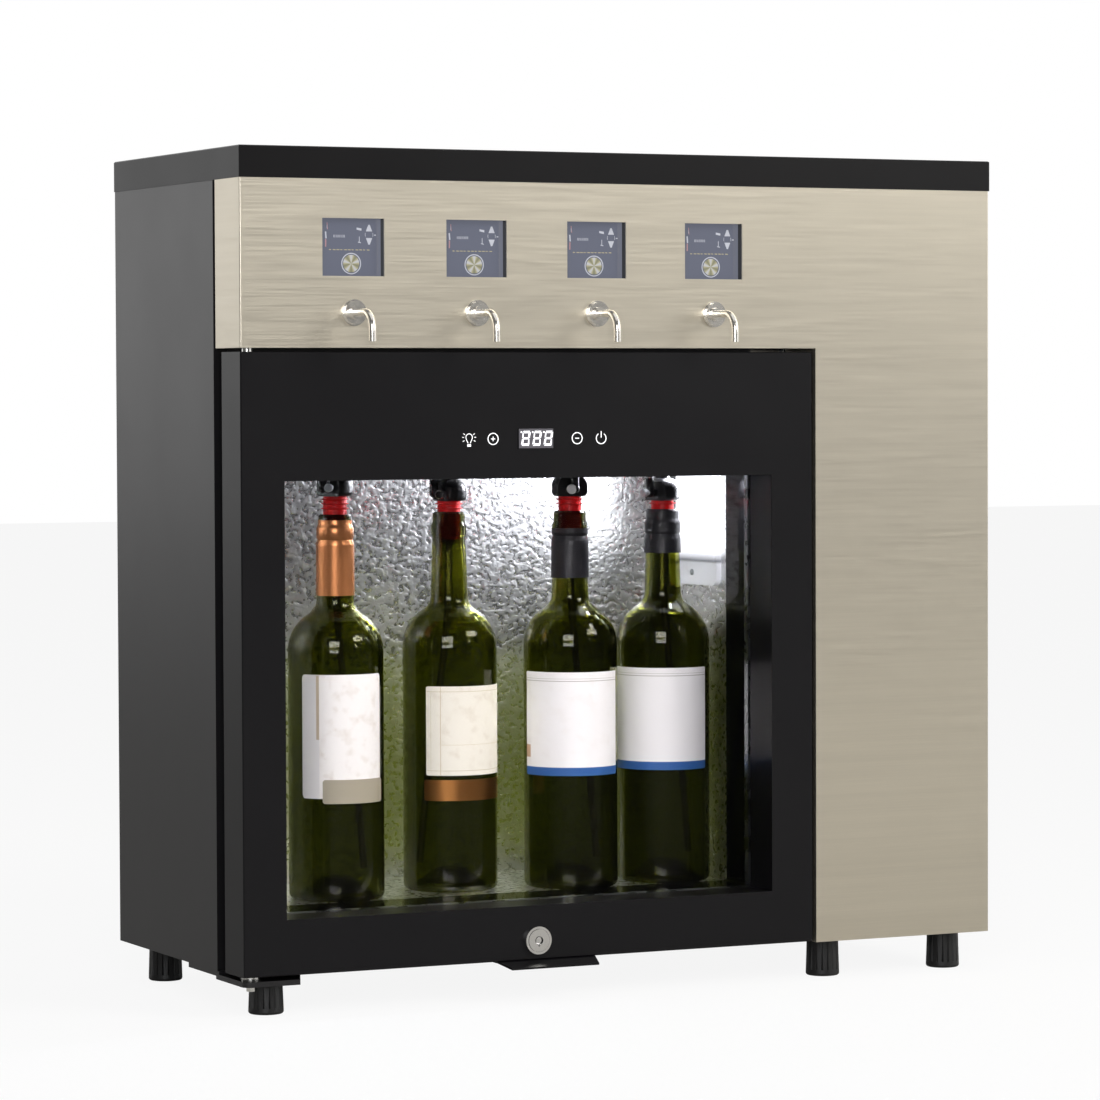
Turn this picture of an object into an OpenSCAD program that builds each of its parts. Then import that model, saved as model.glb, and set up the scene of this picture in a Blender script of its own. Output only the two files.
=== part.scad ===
// Four-bottle wine preservation dispenser: cooled cabinet, glazed door, four taps.
// Cabinet coordinates inside the modules: x from the left side, y back from the
// front plane, z up from the underside of the body. cab() moves them to the part frame.

/* [Cabinet] */
// Width over the side panels
cab_w = 650; // [620:10:760]
// Depth from the front plane to the back panel
cab_d = 268; // [262:2:320]
// Height of the body under the lid
body_h = 600; // [590:5:680]
// Height of the lid's folded edge
lid_h = 24; // [18:1:40]
// How far the lid stands out past the body
lid_over = 0.5; // [0.2:0.1:3]
// Thickness of the body's sheet steel
sheet = 1.2; // [0.8:0.1:1.6]
// Thickness of the base plate
base_t = 2; // [1.5:0.5:3]
// Width of the right-hand machine column
col_w = 160; // [156:2:190]
// Height of the tap header above the door
header_h = 127; // [122:1:140]
// Depth of the fascia's folded edge
fascia_d = 50; // [44:1:52]
// Width of the folds on the side panels
fold_w = 10; // [6:1:12]

/* [Feet] */
// Height of the body above the floor
foot_h = 30; // [24:1:45]
// Radius of a foot at the floor
foot_r = 13.5; // [10:0.5:16]
// Distance from the body's sides to a foot's centre
foot_in = 28; // [24:1:40]
// Radius of a foot's screw
foot_stud_r = 4; // [3:0.5:5]

/* [Door] */
// Thickness of the door frame
door_t = 38; // [34:1:42]
// Gap between the door and what is round it
door_gap = 3; // [2:0.5:5]
// Height of the door's lower edge above the body's underside
door_lift = 1; // [0.5:0.5:2]
// Width of the left stile
stile_l = 35; // [33:1:45]
// Width of the right stile
stile_r = 37; // [35:1:45]
// Height of the bottom rail
rail_b = 42; // [40:1:50]
// Height of the top rail with the keys
rail_t = 97; // [80:1:110]
// Wall of the hollow door frame
door_wall = 1.6; // [1.2:0.2:2.4]
// Space between the door and the cabinet front, filled by the gasket
seal_gap = 16.5; // [15.5:0.5:20]
// Thickness of one glass pane
pane_t = 4; // [3:1:4]
// Air space between the panes
pane_gap = 6; // [4:1:6]
// Overlap of the glass behind the frame
glass_lap = 8; // [5:1:9]
// Width of the gasket
seal_w = 9.5; // [8:0.5:10]
// Distance from the door's left edge to the hinge axis
hinge_x = 13; // [12:0.5:15]
// Radius of the hinge pins
pin_r = 4; // [3:0.5:4.5]

/* [Lock] */
// Height of the lock above the body's underside
lock_z = 16; // [14.5:0.5:17]
// Radius of the lock's bezel
bezel_r = 10.8; // [10:0.2:12]
// Radius of the turning face
plug_face_r = 8.7; // [7:0.1:9]
// Radius of the turning spindle
spindle_r = 6; // [4:0.5:6.5]
// Radius of the key hole
key_r = 3.4; // [2:0.2:4]
// Length of the cam from the lock's axis
cam_len = 20; // [18.5:0.5:22]
// Width of the cam
cam_w = 9; // [6:1:10]

/* [Chamber] */
// Insulation at the left of the chamber
wall_l = 30; // [28:1:34]
// Insulation at the right of the chamber
wall_r = 30; // [28:1:40]
// Insulation at the back of the chamber
wall_b = 28; // [24:1:36]
// Height of the chamber floor
floor_z = 42; // [38:1:50]
// Depth of the plastic front frame round the chamber
frame_d = 42; // [30:1:48]
// Drop of the chamber ceiling below the header
ceil_drop = 25; // [22:1:30]
// Thickness of the insulation over the ceiling
ceil_t = 38; // [36:1:42]
// Thickness of the chamber's liner
liner_t = 1; // [0.8:0.1:1.5]

/* [Tap stations] */
// Distance between two taps
pitch = 102.25; // [96:0.25:104]
// Height of the taps above the header's lower edge
tap_rise = 26.5; // [24:0.5:32]
// Radius of a tap's flange
tap_flange_r = 10; // [8:0.5:12]
// Outer radius of a tap's tube
tap_r = 2.8; // [2.4:0.1:3.4]
// Bend radius of a tap's tube
tap_bend = 14; // [12:1:16]
// Reach of a tap in front of the fascia
tap_reach = 35.5; // [32:0.5:42]
// Drop of a tap's outlet below its stem
tap_drop = 22; // [19:0.5:22.5]
// Width of a screen's cut-out
screen_w = 50.7; // [40:0.5:60]
// Height of a screen's cut-out
screen_h = 43.5; // [36:0.5:46]
// Height of a screen's lower edge above the header's lower edge
screen_rise = 54; // [50:1:60]
// Depth of a screen behind the fascia
screen_deep = 7; // [4:0.5:10]

/* [Bottles and stoppers] */
// Radius of a bottle's body
bottle_r = 37.7; // [36:0.1:38.5]
// Height of a bottle
bottle_h = 302; // [290:1:306]
// Thickness of the glass
bottle_wall = 3; // [2:0.5:4]
// Radius of the bore in a bottle's mouth
mouth_r = 9.6; // [9.2:0.1:10]
// Radius of a stopper's rubber plug
plug_r = 9.2; // [8.6:0.1:9.2]
// Depth of the plug in the mouth
plug_deep = 22; // [15:1:28]
// Radius of a stopper's head
head_r = 14.5; // [13:0.5:16]
// Outer radius of the dip tubes and hoses
hose_r = 3; // [2.4:0.2:3.4]

/* [Cooling] */
// Radius of the compressor's shell
comp_r = 50; // [44:1:54]
// Radius of the fan
fan_r = 55; // [48:1:58]
// Number of fan blades
fan_blades = 7; // [5:1:9]
// Number of condenser fins
fin_count = 26; // [16:1:32]

/* [Hidden] */
$fn = 48;
eps = 0.01;
move_gap = 0.3;
run_gap = 0.05;
fit_gap = 0.2;
stations = [0, 1, 2, 3];
// Room left of, between and right of the bottles; a wider chamber shares its extra room out alike
bottle_room = [61.425, 31.35, 19.85, 10.35, 5.425];
// How far each bottle stands behind the front frame's rear edge
bottle_back = [30.5, 49.5, 24.5, 28.5];
// Height of the stoppers' heads above the mouths, and where their gas elbows point
plug_out = [14, 8.5, 11.5, 6.8];
elbow_turn = [205, 188, 262, 196];

head_z = body_h - header_h;
col_x = cab_w - col_w;
door_w = col_x - door_gap;
door_top = head_z - door_gap;
door_y1 = door_t + seal_gap;
ch_x0 = wall_l;
ch_x1 = col_x - wall_r;
ch_y1 = cab_d - wall_b;
ch_z1 = head_z - ceil_drop;
frame_y1 = door_y1 + frame_d;
foam_top = ch_z1 + ceil_t;
foam_y0 = door_y1 + 2.5;
skin_y = cab_d - sheet;
fold_y = skin_y - sheet;
win_x0 = stile_l;
win_x1 = door_w - stile_r;
win_z0 = door_lift + rail_b;
win_z1 = door_top - rail_t;
glass_y0 = door_t - 2;
glass_y1 = glass_y0 + 2 * pane_t + pane_gap;
back_plate_t = 4;
rim_w = 3;
rim_gap = 0.5;
hinge_y = door_t / 2;
station_mid = door_w / 2 + 2;
tap_z = head_z + tap_rise;
screen_z = head_z + screen_rise;
lock_x = door_w / 2;
bezel_t = 3;
spout_front = tap_reach + tap_r;
inlet_out = 14;
front_y = -(cab_d + inlet_out - spout_front) / 2;
mouth_z = floor_z + bottle_h;
bay_x0 = col_x + sheet;
bay_x1 = cab_w - sheet;
bay_mid = (bay_x0 + bay_x1) / 2;
function tap_x(i) = station_mid + (i - 1.5) * pitch;
function sum_to(v, n) = n < 0 ? 0 : v[n] + sum_to(v, n - 1);
room_share = (ch_x1 - ch_x0 - 8 * bottle_r) / sum_to(bottle_room, 4);
function bottle_x(i) = ch_x0 + (2 * i + 1) * bottle_r + room_share * sum_to(bottle_room, i);
bottle_y = [for (b = bottle_back) frame_y1 + b];

// ---- shared shapes ----

// Moves cabinet coordinates to the part frame
module cab() translate([-cab_w / 2, front_y, foot_h]) children();

// A box given by two opposite corners
module block(a, b) translate(a) cube([b[0] - a[0], b[1] - a[1], b[2] - a[2]]);

// A plate in the x-z plane from depth y0 to y1, with the children as its outline
module slab(y0, y1) translate([0, y1, 0]) rotate([90, 0, 0]) linear_extrude(y1 - y0) children();

// A rectangle with round corners, from corner a to corner b
module round_rect(a, b, r) {
  translate([a[0] + r, a[1]]) square([b[0] - a[0] - 2 * r, b[1] - a[1]]);
  translate([a[0], a[1] + r]) square([b[0] - a[0], b[1] - a[1] - 2 * r]);
  for (x = [a[0] + r, b[0] - r], z = [a[1] + r, b[1] - r]) translate([x, z]) circle(r);
}

// A rod or tube along y
module rod_y(x, z, y0, y1, r) translate([x, y1, z]) rotate([90, 0, 0]) cylinder(h = y1 - y0, r = r);

// A rod along x
module rod_x(y, z, x0, x1, r) translate([x0, y, z]) rotate([0, 90, 0]) cylinder(h = x1 - x0, r = r);

// A flat ring of width w inside the rectangle from a to b
module frame_ring(a, b, w, y0, y1, r = 2) {
  slab(y0, y1) difference() {
    round_rect(a, b, r);
    round_rect([a[0] + w, a[1] + w], [b[0] - w, b[1] - w], r);
  }
}

// What is cut from a sharp vertical edge to round it to radius r
module edge_cut(x, y, z0, z1, r, sx) {
  translate([x, y, z0]) difference() {
    translate([min(0, sx * r) - (sx > 0 ? 1 : 0), -1, 0]) cube([r + 1, r + 1, z1 - z0]);
    translate([sx * r, r, -1]) cylinder(h = z1 - z0 + 2, r = r);
  }
}

function arc(cx, cz, r, a0, a1, n) =
  [for (i = [0:n]) [cx + r * cos(a0 + (a1 - a0) * i / n), cz + r * sin(a0 + (a1 - a0) * i / n)]];

function unit(v) = v / norm(v);

// Points of a curve from a to d, with short straight ends that leave along a-b and arrive along c-d
function bez(a, b, c, d, n) = concat([a, a + 0.5 * unit(b - a)],
  [for (i = [1:n - 1]) let (t = i / n, s = 1 - t)
    s * s * s * a + 3 * s * s * t * b + 3 * s * t * t * c + t * t * t * d],
  [d + 0.5 * unit(c - d), d]);

// A tube along a path; across is a direction that the path never takes
module tube(path, r, sides = 8, across = [0, 1, 0]) {
  last = len(path) - 1;
  rings = [for (i = [0:last]) let (
      t = unit(path[min(i + 1, last)] - path[max(i - 1, 0)]),
      u = unit(cross(across, t)), v = cross(t, u))
    [for (k = [0:sides - 1]) path[i] + r * (cos(360 * k / sides) * u + sin(360 * k / sides) * v)]];
  points = [for (ring = rings) each ring];
  walls = [for (i = [0:last - 1], k = [0:sides - 1]) let (
      a = i * sides + k, b = i * sides + (k + 1) % sides) each
    [[a, a + sides, b + sides], [a, b + sides, b]]];
  caps = [for (k = [1:sides - 2]) each
    [[0, k, k + 1], [last * sides, last * sides + k + 1, last * sides + k]]];
  polyhedron(points, concat(walls, caps));
}

// ---- cabinet ----

module lid() color("#1a1a1c") cab() {
  o = lid_over;
  bevel = 0.8;
  skirt = 2 - o;
  difference() {
    hull() {
      block([-o, -o, body_h], [cab_w + o, cab_d + o, body_h + lid_h - bevel]);
      block([bevel - o, bevel - o, body_h], [cab_w + o - bevel, cab_d + o - bevel, body_h + lid_h]);
    }
    block([skirt, skirt, body_h - 1], [cab_w - skirt, cab_d - skirt, body_h + lid_h - sheet]);
  }
}

// Side panel as a folded sheet, with inward folds at the front and back
module side_sheet(y0) {
  difference() {
    linear_extrude(body_h) polygon([
      [0, y0], [fold_w, y0], [fold_w, y0 + sheet], [sheet, y0 + sheet],
      [sheet, fold_y], [fold_w, fold_y], [fold_w, skin_y], [0, skin_y]]);
    // the front fold stands on the base plate
    block([sheet, y0 - 1, -1], [fold_w + 1, y0 + sheet + eps, base_t]);
  }
}

module left_side_panel() color("#1d1d1f") cab() side_sheet(door_y1);

module right_side_panel() color("#1d1d1f") cab()
  translate([cab_w, 0, 0]) mirror([1, 0, 0]) side_sheet(fascia_d);

module back_panel() color("#1d1d1f") cab() {
  slot_h = 5;
  slot_w = 46;
  step = 9.5;
  between = 12;
  fan_rows = 14;
  top_rows = 6;
  slab(skin_y, cab_d) difference() {
    square([cab_w, body_h]);
    // air out of the condenser fan
    for (s = [-1, 1], row = [0:fan_rows - 1])
      translate([bay_mid + s * (slot_w + between) / 2 - slot_w / 2,
          fan_z - (fan_rows - 1) * step / 2 - slot_h / 2 + row * step])
        round_rect([0, 0], [slot_w, slot_h], slot_h / 2 - eps);
    // air out of the header
    for (row = [1:top_rows]) translate([bay_mid - slot_w / 2, body_h - 26.5 - row * step])
      if (row < 3 || row > 4) round_rect([0, 0], [slot_w, slot_h], slot_h / 2 - eps);
    translate([inlet_x, inlet_z]) circle(gas_stem_r + fit_gap);
    round_rect([plug_x - plug_w / 2 - fit_gap, plug_z - plug_h / 2 - fit_gap],
      [plug_x + plug_w / 2 + fit_gap, plug_z + plug_h / 2 + fit_gap], 3);
  }
}

// Where the feet stand: three along the front, three along the back; the first hangs under the hinge
foot_past_col = 20;
feet_x = [foot_in, col_x + foot_past_col, cab_w - foot_in];
feet_at = [for (y = [foot_in - 2, cab_d - foot_in], x = feet_x) [x, y]];
nut_r = 8;
nut_h = 8;

module base_pan() color("#161617") cab() {
  difference() {
    union() {
      block([sheet, foam_y0, 0], [cab_w - sheet, fold_y, base_t]);
      block([bay_x0, sheet, 0], [bay_x1, fold_y, base_t]);
      // nuts welded in for the feet
      for (i = [1:5]) translate(feet_at[i]) cylinder(h = base_t + nut_h, r = nut_r);
    }
    for (i = [1:5]) translate([0, 0, -1]) translate(feet_at[i])
      cylinder(h = base_t + nut_h + 2, r = foot_stud_r);
  }
}

// Outline of the fascia drawn in by t, reaching down to z; its foot has no fold
module fascia_outline(t, z) {
  polygon([
    [t, head_z + t], [col_x + t, head_z + t], [col_x + t, z],
    [cab_w - t, z], [cab_w - t, body_h - t], [t, body_h - t]]);
}

module front_fascia() color("#b3a998") cab() {
  difference() {
    slab(0, fascia_d) fascia_outline(0, 0);
    slab(sheet, fascia_d + 1) fascia_outline(sheet, -1);
    edge_cut(0, 0, head_z - 1, body_h + 1, sheet, 1);
    edge_cut(cab_w, 0, -1, body_h + 1, sheet, -1);
    for (i = stations) {
      over_screen(i, 0, -1, sheet + 1);
      rod_y(tap_x(i), tap_z, -1, sheet + 1, stem_r + 0.1);
    }
    // the upper hinge pin passes through the header's lower fold
    translate([hinge_x, hinge_y, head_z - 1]) cylinder(h = sheet + 2, r = pin_r + fit_gap);
  }
}

module partition_panel() color("#8d9093") cab() {
  difference() {
    block([col_x - sheet, fascia_d + 1, base_t], [col_x, fold_y, body_h]);
    for (z = line_z) rod_x(line_y, z, col_x - sheet - 1, col_x + 1, line_r + 1);
    // the gas supply crosses above the insulation
    block([col_x - sheet - 1, gas_y0 - 5, foam_top + 4], [col_x + 1, gas_y0 + 30, foam_top + 34]);
  }
}

// ---- chamber ----

jamb_t = 3;
evap_in = 16;
evap_r = 2;
line_r = 3;
line_y = ch_y1 + liner_t + line_r + 0.2;
line_z = [ch_z1 - 50, ch_z1 - 36];

module foam_insulation() color("#e6d9a8") cab() {
  g = liner_t;
  jamb = jamb_t;
  difference() {
    block([sheet, foam_y0, base_t], [col_x - sheet, fold_y, foam_top]);
    // pocket for the liner
    block([ch_x0 - g, frame_y1 - 1, floor_z - g], [ch_x1 + g, ch_y1 + g, ch_z1 + g]);
    // pocket for the front frame's jambs
    block([ch_x0 - jamb, 0, floor_z - jamb], [ch_x1 + jamb, frame_y1, ch_z1 + jamb]);
    // pocket for the evaporator
    block([ch_x0 + evap_in, ch_y1, floor_z + evap_in],
      [ch_x1 - evap_in, ch_y1 + g + 2 * evap_r, ch_z1 - evap_in]);
    for (z = line_z) rod_x(line_y, z, ch_x1 - evap_in - 1, col_x, line_r + 0.2);
    for (i = stations, p = ports(i)) translate([p[0], p[1], ch_z1 - 5])
      cylinder(h = ceil_t + 10, r = grommet_r);
    // the rear left foot's nut
    translate(feet_at[3]) cylinder(h = base_t + nut_h, r = nut_r);
  }
}

module chamber_liner() color("#d9dadb") cab() {
  g = liner_t;
  difference() {
    block([ch_x0 - g, frame_y1, floor_z - g], [ch_x1 + g, ch_y1 + g, ch_z1 + g]);
    block([ch_x0, frame_y1 - 1, floor_z], [ch_x1, ch_y1, ch_z1]);
    for (i = stations, p = ports(i)) translate([p[0], p[1], ch_z1 - 1]) cylinder(h = g + 2, r = grommet_r);
  }
}

module breaker_frame() color("#0c0c0d") cab() {
  jamb = jamb_t;
  x0 = fold_w + fit_gap;
  slab(door_y1, foam_y0) difference() {
    translate([x0, base_t]) square([col_x - sheet - x0, foam_top - base_t]);
    round_rect([ch_x0, floor_z], [ch_x1, ch_z1], 2);
  }
  slab(foam_y0 - eps, frame_y1) difference() {
    translate([ch_x0 - jamb, floor_z - jamb]) square([ch_x1 - ch_x0 + 2 * jamb, ch_z1 - floor_z + 2 * jamb]);
    round_rect([ch_x0, floor_z], [ch_x1, ch_z1], 2);
  }
}

// ---- chamber light on the right wall ----

light_y0 = frame_y1 + 8;
light_w = 71;
light_h = 165;
light_z1 = ch_z1 - 2;
light_z0 = light_z1 - light_h;
light_t = 4.5;
board_t = 1;

module light_outline(inset) {
  round_rect([light_y0 + inset, light_z0 + inset], [light_y0 + light_w - inset, light_z1 - inset], 8 - inset);
}

// A plate on the chamber's right wall, from x0 to x1 away from it
module on_right_wall(x0, x1) translate([ch_x1 - x1, 0, 0]) rotate([90, 0, -90]) mirror([1, 0, 0])
  linear_extrude(x0 - x1) children();

module light_cover() color("#f2f4f6") cab() {
  difference() {
    union() {
      on_right_wall(light_t, 0) light_outline(0);
      on_right_wall(light_t + 1.5, light_t - eps) intersection() {
        light_outline(4);
        translate([light_y0, light_z0 + 20]) square([light_w, light_h]);
      }
    }
    on_right_wall(light_t - 1.2, -1) light_outline(1.5);
    rod_x(light_y0 + light_w * 0.6, light_z0 + 10, ch_x1 - light_t - 1, ch_x1, 1.7);
  }
}

module led_strip() color("#f7f2d0") cab() {
  side = 14;
  led = 5;
  step = 11;
  z0 = light_z0 + 2 * side;
  z1 = light_z1 - side;
  block([ch_x1 - board_t, light_y0 + side, z0], [ch_x1, light_y0 + light_w - side, z1]);
  for (z = [z0 + led : step : z1 - 2 * led], y = [light_y0 + 24, light_y0 + light_w - 24 - led])
    block([ch_x1 - board_t - 1.4, y, z], [ch_x1 - board_t + eps, y + led, z + led]);
}

// ---- hose ports in the ceiling: wine and gas for each bottle ----

grommet_r = 5.5;
flange_t = 2.5;
function ports(i) = [[bottle_x(i) - 6, bottle_y[i] + 6], [bottle_x(i) - 28, bottle_y[i] + 2]];

module hose_grommets() color("#111111") cab() {
  for (i = stations, p = ports(i)) translate([p[0], p[1], 0]) difference() {
    union() {
      translate([0, 0, ch_z1 - flange_t]) cylinder(h = flange_t, r = grommet_r + 2.5);
      translate([0, 0, ch_z1]) cylinder(h = foam_top - ch_z1, r = grommet_r);
    }
    translate([0, 0, ch_z1 - flange_t - 1]) cylinder(h = ceil_t + 10, r = hose_r - 0.5);
  }
}

// ---- taps ----

stem_r = 4.5;
stem_len = 14;
tap_wall = 0.8;

// The tube of a tap, or the way through it: back to y1, round the bend, down past the outlet
module tap_way(x, r, y1, past) {
  run = tap_reach - tap_bend;
  rod_y(x, tap_z, -run, y1, r);
  translate([x, -run, tap_z - tap_bend]) rotate([180, -90, 0])
    rotate_extrude(angle = 90) translate([tap_bend, 0]) circle(r);
  translate([x, -tap_reach, tap_z - tap_drop - past]) cylinder(h = tap_drop - tap_bend + past, r = r);
}

module spout(i) {
  x = tap_x(i);
  difference() {
    union() {
      // stepped flange and collar in front of the fascia, threaded stem behind it
      rod_y(x, tap_z, -1.5, 0, tap_flange_r);
      rod_y(x, tap_z, -4, -1.5, tap_flange_r - 1.2);
      rod_y(x, tap_z, -7, -4, stem_r + 0.5);
      rod_y(x, tap_z, 0, stem_len, stem_r);
      tap_way(x, tap_r, 0, 0);
    }
    tap_way(x, tap_r - tap_wall, stem_len + 1, 1);
  }
}

module spouts() color("#c9c6bf") cab() for (i = stations) spout(i);

valve_y1 = stem_len + 33;

module wine_valves() color("#3a3d42") cab() {
  half_w = 13;
  half_h = 12;
  for (i = stations) difference() {
    union() {
      block([tap_x(i) - half_w, stem_len, tap_z - half_h],
        [tap_x(i) + half_w, stem_len + 20, tap_z + half_h]);
      rod_y(tap_x(i), tap_z, stem_len + 19, valve_y1, half_h - 1);
    }
    rod_y(tap_x(i), tap_z, stem_len - 1, stem_len + 6, tap_r - tap_wall);
  }
}

// The box over a screen's cut-out, grown by m on each side
module over_screen(i, m, y0, y1) block([tap_x(i) - screen_w / 2 - m, y0, screen_z - m],
  [tap_x(i) + screen_w / 2 + m, y1, screen_z + screen_h + m]);

module screen_housings() color("#0e0f11") cab() {
  for (i = stations) difference() {
    over_screen(i, 4.5, sheet, screen_deep + 9);
    over_screen(i, 0, 0, screen_deep + 1);
    over_screen(i, 2.5, screen_deep, screen_deep + 10);
  }
}

module touch_screens() color("#6d7484") cab()
  for (i = stations) over_screen(i, 2.5, screen_deep, screen_deep + 3);

// ---- header: gas and wine lines, electronics ----

gas_y0 = cab_d - 70;
gas_d = 20;
gas_h = 18;
spigot = 6;
line_hose_r = hose_r - 0.4;
gas_x0 = ch_x0 + 20;
gas_x1 = ch_x1 - 10;

module gas_manifold() color("#9b9ea3") cab() {
  block([gas_x0, gas_y0, foam_top], [gas_x1, gas_y0 + gas_d, foam_top + gas_h]);
  for (i = stations) {
    // valve coil on top and hose spigot in front
    translate([ports(i)[1][0], gas_y0 + gas_d / 2, foam_top + gas_h - eps]) cylinder(h = 26, r = 9);
    rod_y(ports(i)[1][0], foam_top + gas_h / 2, gas_y0 - spigot, gas_y0 + eps, 3.5);
  }
}

module header_tubes() color("#17181a") cab() {
  for (i = stations) {
    w = ports(i)[0];
    g = ports(i)[1];
    tube(bez([w[0], w[1], foam_top], [w[0], w[1], foam_top + 45], [tap_x(i), valve_y1 + 43, tap_z],
      [tap_x(i), valve_y1, tap_z], 10), line_hose_r, across = [1, 0, 0]);
    tube(bez([g[0], g[1], foam_top], [g[0], g[1], foam_top + 22], [g[0], gas_y0 - 25, foam_top + gas_h / 2],
      [g[0], gas_y0 - spigot, foam_top + gas_h / 2], 8), line_hose_r, across = [1, 0, 0]);
  }
  // supply from the rear inlet to the manifold's end
  end = [gas_x1, gas_y0 + gas_d / 2, foam_top + gas_h / 2];
  start = [inlet_x, skin_y - stem_in - 2, inlet_z];
  tube(bez(start, start - [0, 40, 0], end + [50, 0, 0], end, 12), line_hose_r, across = [0, 0, 1]);
}

module control_board() color("#1f5a3c") cab() {
  board_w = 230;
  board_d = 38;
  stand = 6;
  x0 = ch_x0 + 10;
  x1 = x0 + board_w;
  y1 = fold_y - 4;
  y0 = y1 - board_d;
  z0 = foam_top + stand;
  corner = 6;
  part_w = 18;
  part_step = 34;
  block([x0, y0, z0], [x1, y1, z0 + 1.6]);
  for (x = [x0 + corner, x1 - corner], y = [y0 + corner, y1 - corner])
    translate([x, y, foam_top]) cylinder(h = z0 - foam_top + eps, r = 2.5);
  for (x = [x0 + 16 : part_step : x1 - part_step])
    block([x, y0 + corner, z0 + 1.5], [x + part_w, y0 + 20, z0 + 9]);
}

module power_supply() color("#b9bcc0") cab() {
  z0 = fan_z + fan_r + 50;
  half = 45;
  d = 62;
  h = 44;
  difference() {
    block([bay_mid - half, skin_y - d, z0], [bay_mid + half, skin_y, z0 + h]);
    // vent slots in its front
    for (x = [9 - half : 8 : half - 9])
      block([bay_mid + x, skin_y - d - 1, z0 + 8], [bay_mid + x + 3, skin_y - d + 2, z0 + h - 8]);
  }
}

// ---- rear connections ----

inlet_x = bay_mid;
inlet_z = foam_top + 55;
gas_stem_r = 6.5;
gas_bore_r = 3.05;
gas_bore_len = 16;
stem_in = 14;
plug_x = cab_w - 45;
plug_z = 95;
plug_w = 27.6;
plug_h = 20;

module gas_inlet() color("#c5a052") cab() {
  x = inlet_x;
  z = inlet_z;
  nut = 4;
  out = cab_d + inlet_out;
  difference() {
    union() {
      rod_y(x, z, skin_y - stem_in, out - 2, gas_stem_r);
      // nut on each side of the back panel
      for (y = [cab_d + nut, skin_y]) translate([x, y, z]) rotate([90, 0, 0])
        cylinder(h = nut, r = 9, $fn = 6);
      // release collar outside, hose spigot inside
      rod_y(x, z, out - 3, out, 5.2);
      rod_y(x, z, skin_y - stem_in - 2, skin_y - stem_in + eps, 3.5);
    }
    rod_y(x, z, out - gas_bore_len, out + 1, gas_bore_r);
    rod_y(x, z, skin_y - stem_in - 3, cab_d, 1.5);
  }
}

module power_inlet() color("#141414") cab() {
  wall = 1.6;
  deep = 14;
  pin_step = 7;
  flange = 3;
  translate([plug_x, 0, plug_z]) {
    difference() {
      union() {
        slab(cab_d, cab_d + flange) round_rect([-24, -12.5], [24, 12.5], 5);
        slab(skin_y - 22, cab_d + 1) round_rect([-plug_w / 2, -plug_h / 2], [plug_w / 2, plug_h / 2], 3);
      }
      slab(cab_d - deep, cab_d + flange + 1)
        round_rect([wall - plug_w / 2, wall - plug_h / 2], [plug_w / 2 - wall, plug_h / 2 - wall], 2.5);
    }
    // three flat pins, the middle one higher
    for (k = [-1:1]) let (z = 2 - 4 * abs(k))
      block([k * pin_step - 1, cab_d - deep - 1, z - 2], [k * pin_step + 1, cab_d + 1, z + 2]);
  }
}

// ---- cooling machine in the column ----

comp_y = cab_d - comp_r - 44;
comp_h = 128;
fan_z = 275;
mount_h = 12;
mount_x = 52;
mount_y = 42;
comp_z0 = base_t + mount_h;
stub_x = 18;
stub_y = 16;
stub_h = 14;

module compressor() color("#202124") cab() {
  h = comp_h;
  r = 22;
  translate([bay_mid, comp_y, 0]) {
    block([-mount_x - 10, -mount_y - 10, comp_z0], [mount_x + 10, mount_y + 10, comp_z0 + 3]);
    translate([0, 0, comp_z0 + 2.9]) rotate_extrude() polygon(concat(
      [[0, 0], [comp_r - 12, 0]], arc(comp_r - 10, 10, 10, -90, 0, 6), [[comp_r, 62]],
      [[comp_r + 2, 63], [comp_r + 2, 68], [comp_r, 69]], arc(comp_r - r, h - r, r, 0, 90, 10), [[0, h]]));
    // terminal cover and pipe stubs
    block([comp_r - 6, -20, comp_z0 + 40], [comp_r + 14, 20, comp_z0 + 92]);
    for (s = [-1, 1]) translate([-stub_x, s * stub_y, comp_z0 + h - 6])
      cylinder(h = stub_h + 6, r = line_r + 1);
  }
}

module compressor_mounts() color("#101010") cab() {
  for (x = [-mount_x, mount_x], y = [-mount_y, mount_y])
    translate([bay_mid + x, comp_y + y, base_t]) rotate_extrude()
      polygon([[0, 0], [10, 0], [10, 3], [7.5, 5], [7.5, 7], [10, 9], [10, mount_h], [0, mount_h]]);
}

cond_side = 12.8;
cond_w = bay_x1 - bay_x0 - 2 * cond_side;
cond_back = 92;
cond_y0 = cab_d - cond_back;
cond_d = 34;
cond_half = 60;

module condenser() color("#a9703f") cab() {
  z0 = fan_z - cond_half;
  z1 = fan_z + cond_half;
  fin = 0.6;
  edge = 5;
  tube_in = 9;
  step = (cond_w - 2 * edge) / (fin_count - 1);
  for (k = [0:fin_count - 1]) let (x = bay_mid - cond_w / 2 + edge + k * step - fin / 2)
    block([x, cond_y0, z0], [x + fin, cond_y0 + cond_d, z1]);
  for (z = [z0 + 10 : 20 : z1 - 10], y = [cond_y0 + tube_in, cond_y0 + cond_d - tube_in])
    rod_x(y, z, bay_mid - cond_w / 2, bay_mid + cond_w / 2, 3.5);
  // end plates that stand on the fan shroud
  for (s = [-1, 1]) block([bay_mid + s * cond_w / 2 - 1, cond_y0, z0 - 4],
    [bay_mid + s * cond_w / 2 + 1, cond_y0 + cond_d, z1 + 4]);
}

shroud_y0 = cond_y0 + cond_d;
shroud_y1 = skin_y;
fan_shaft_r = 2.5;

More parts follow.
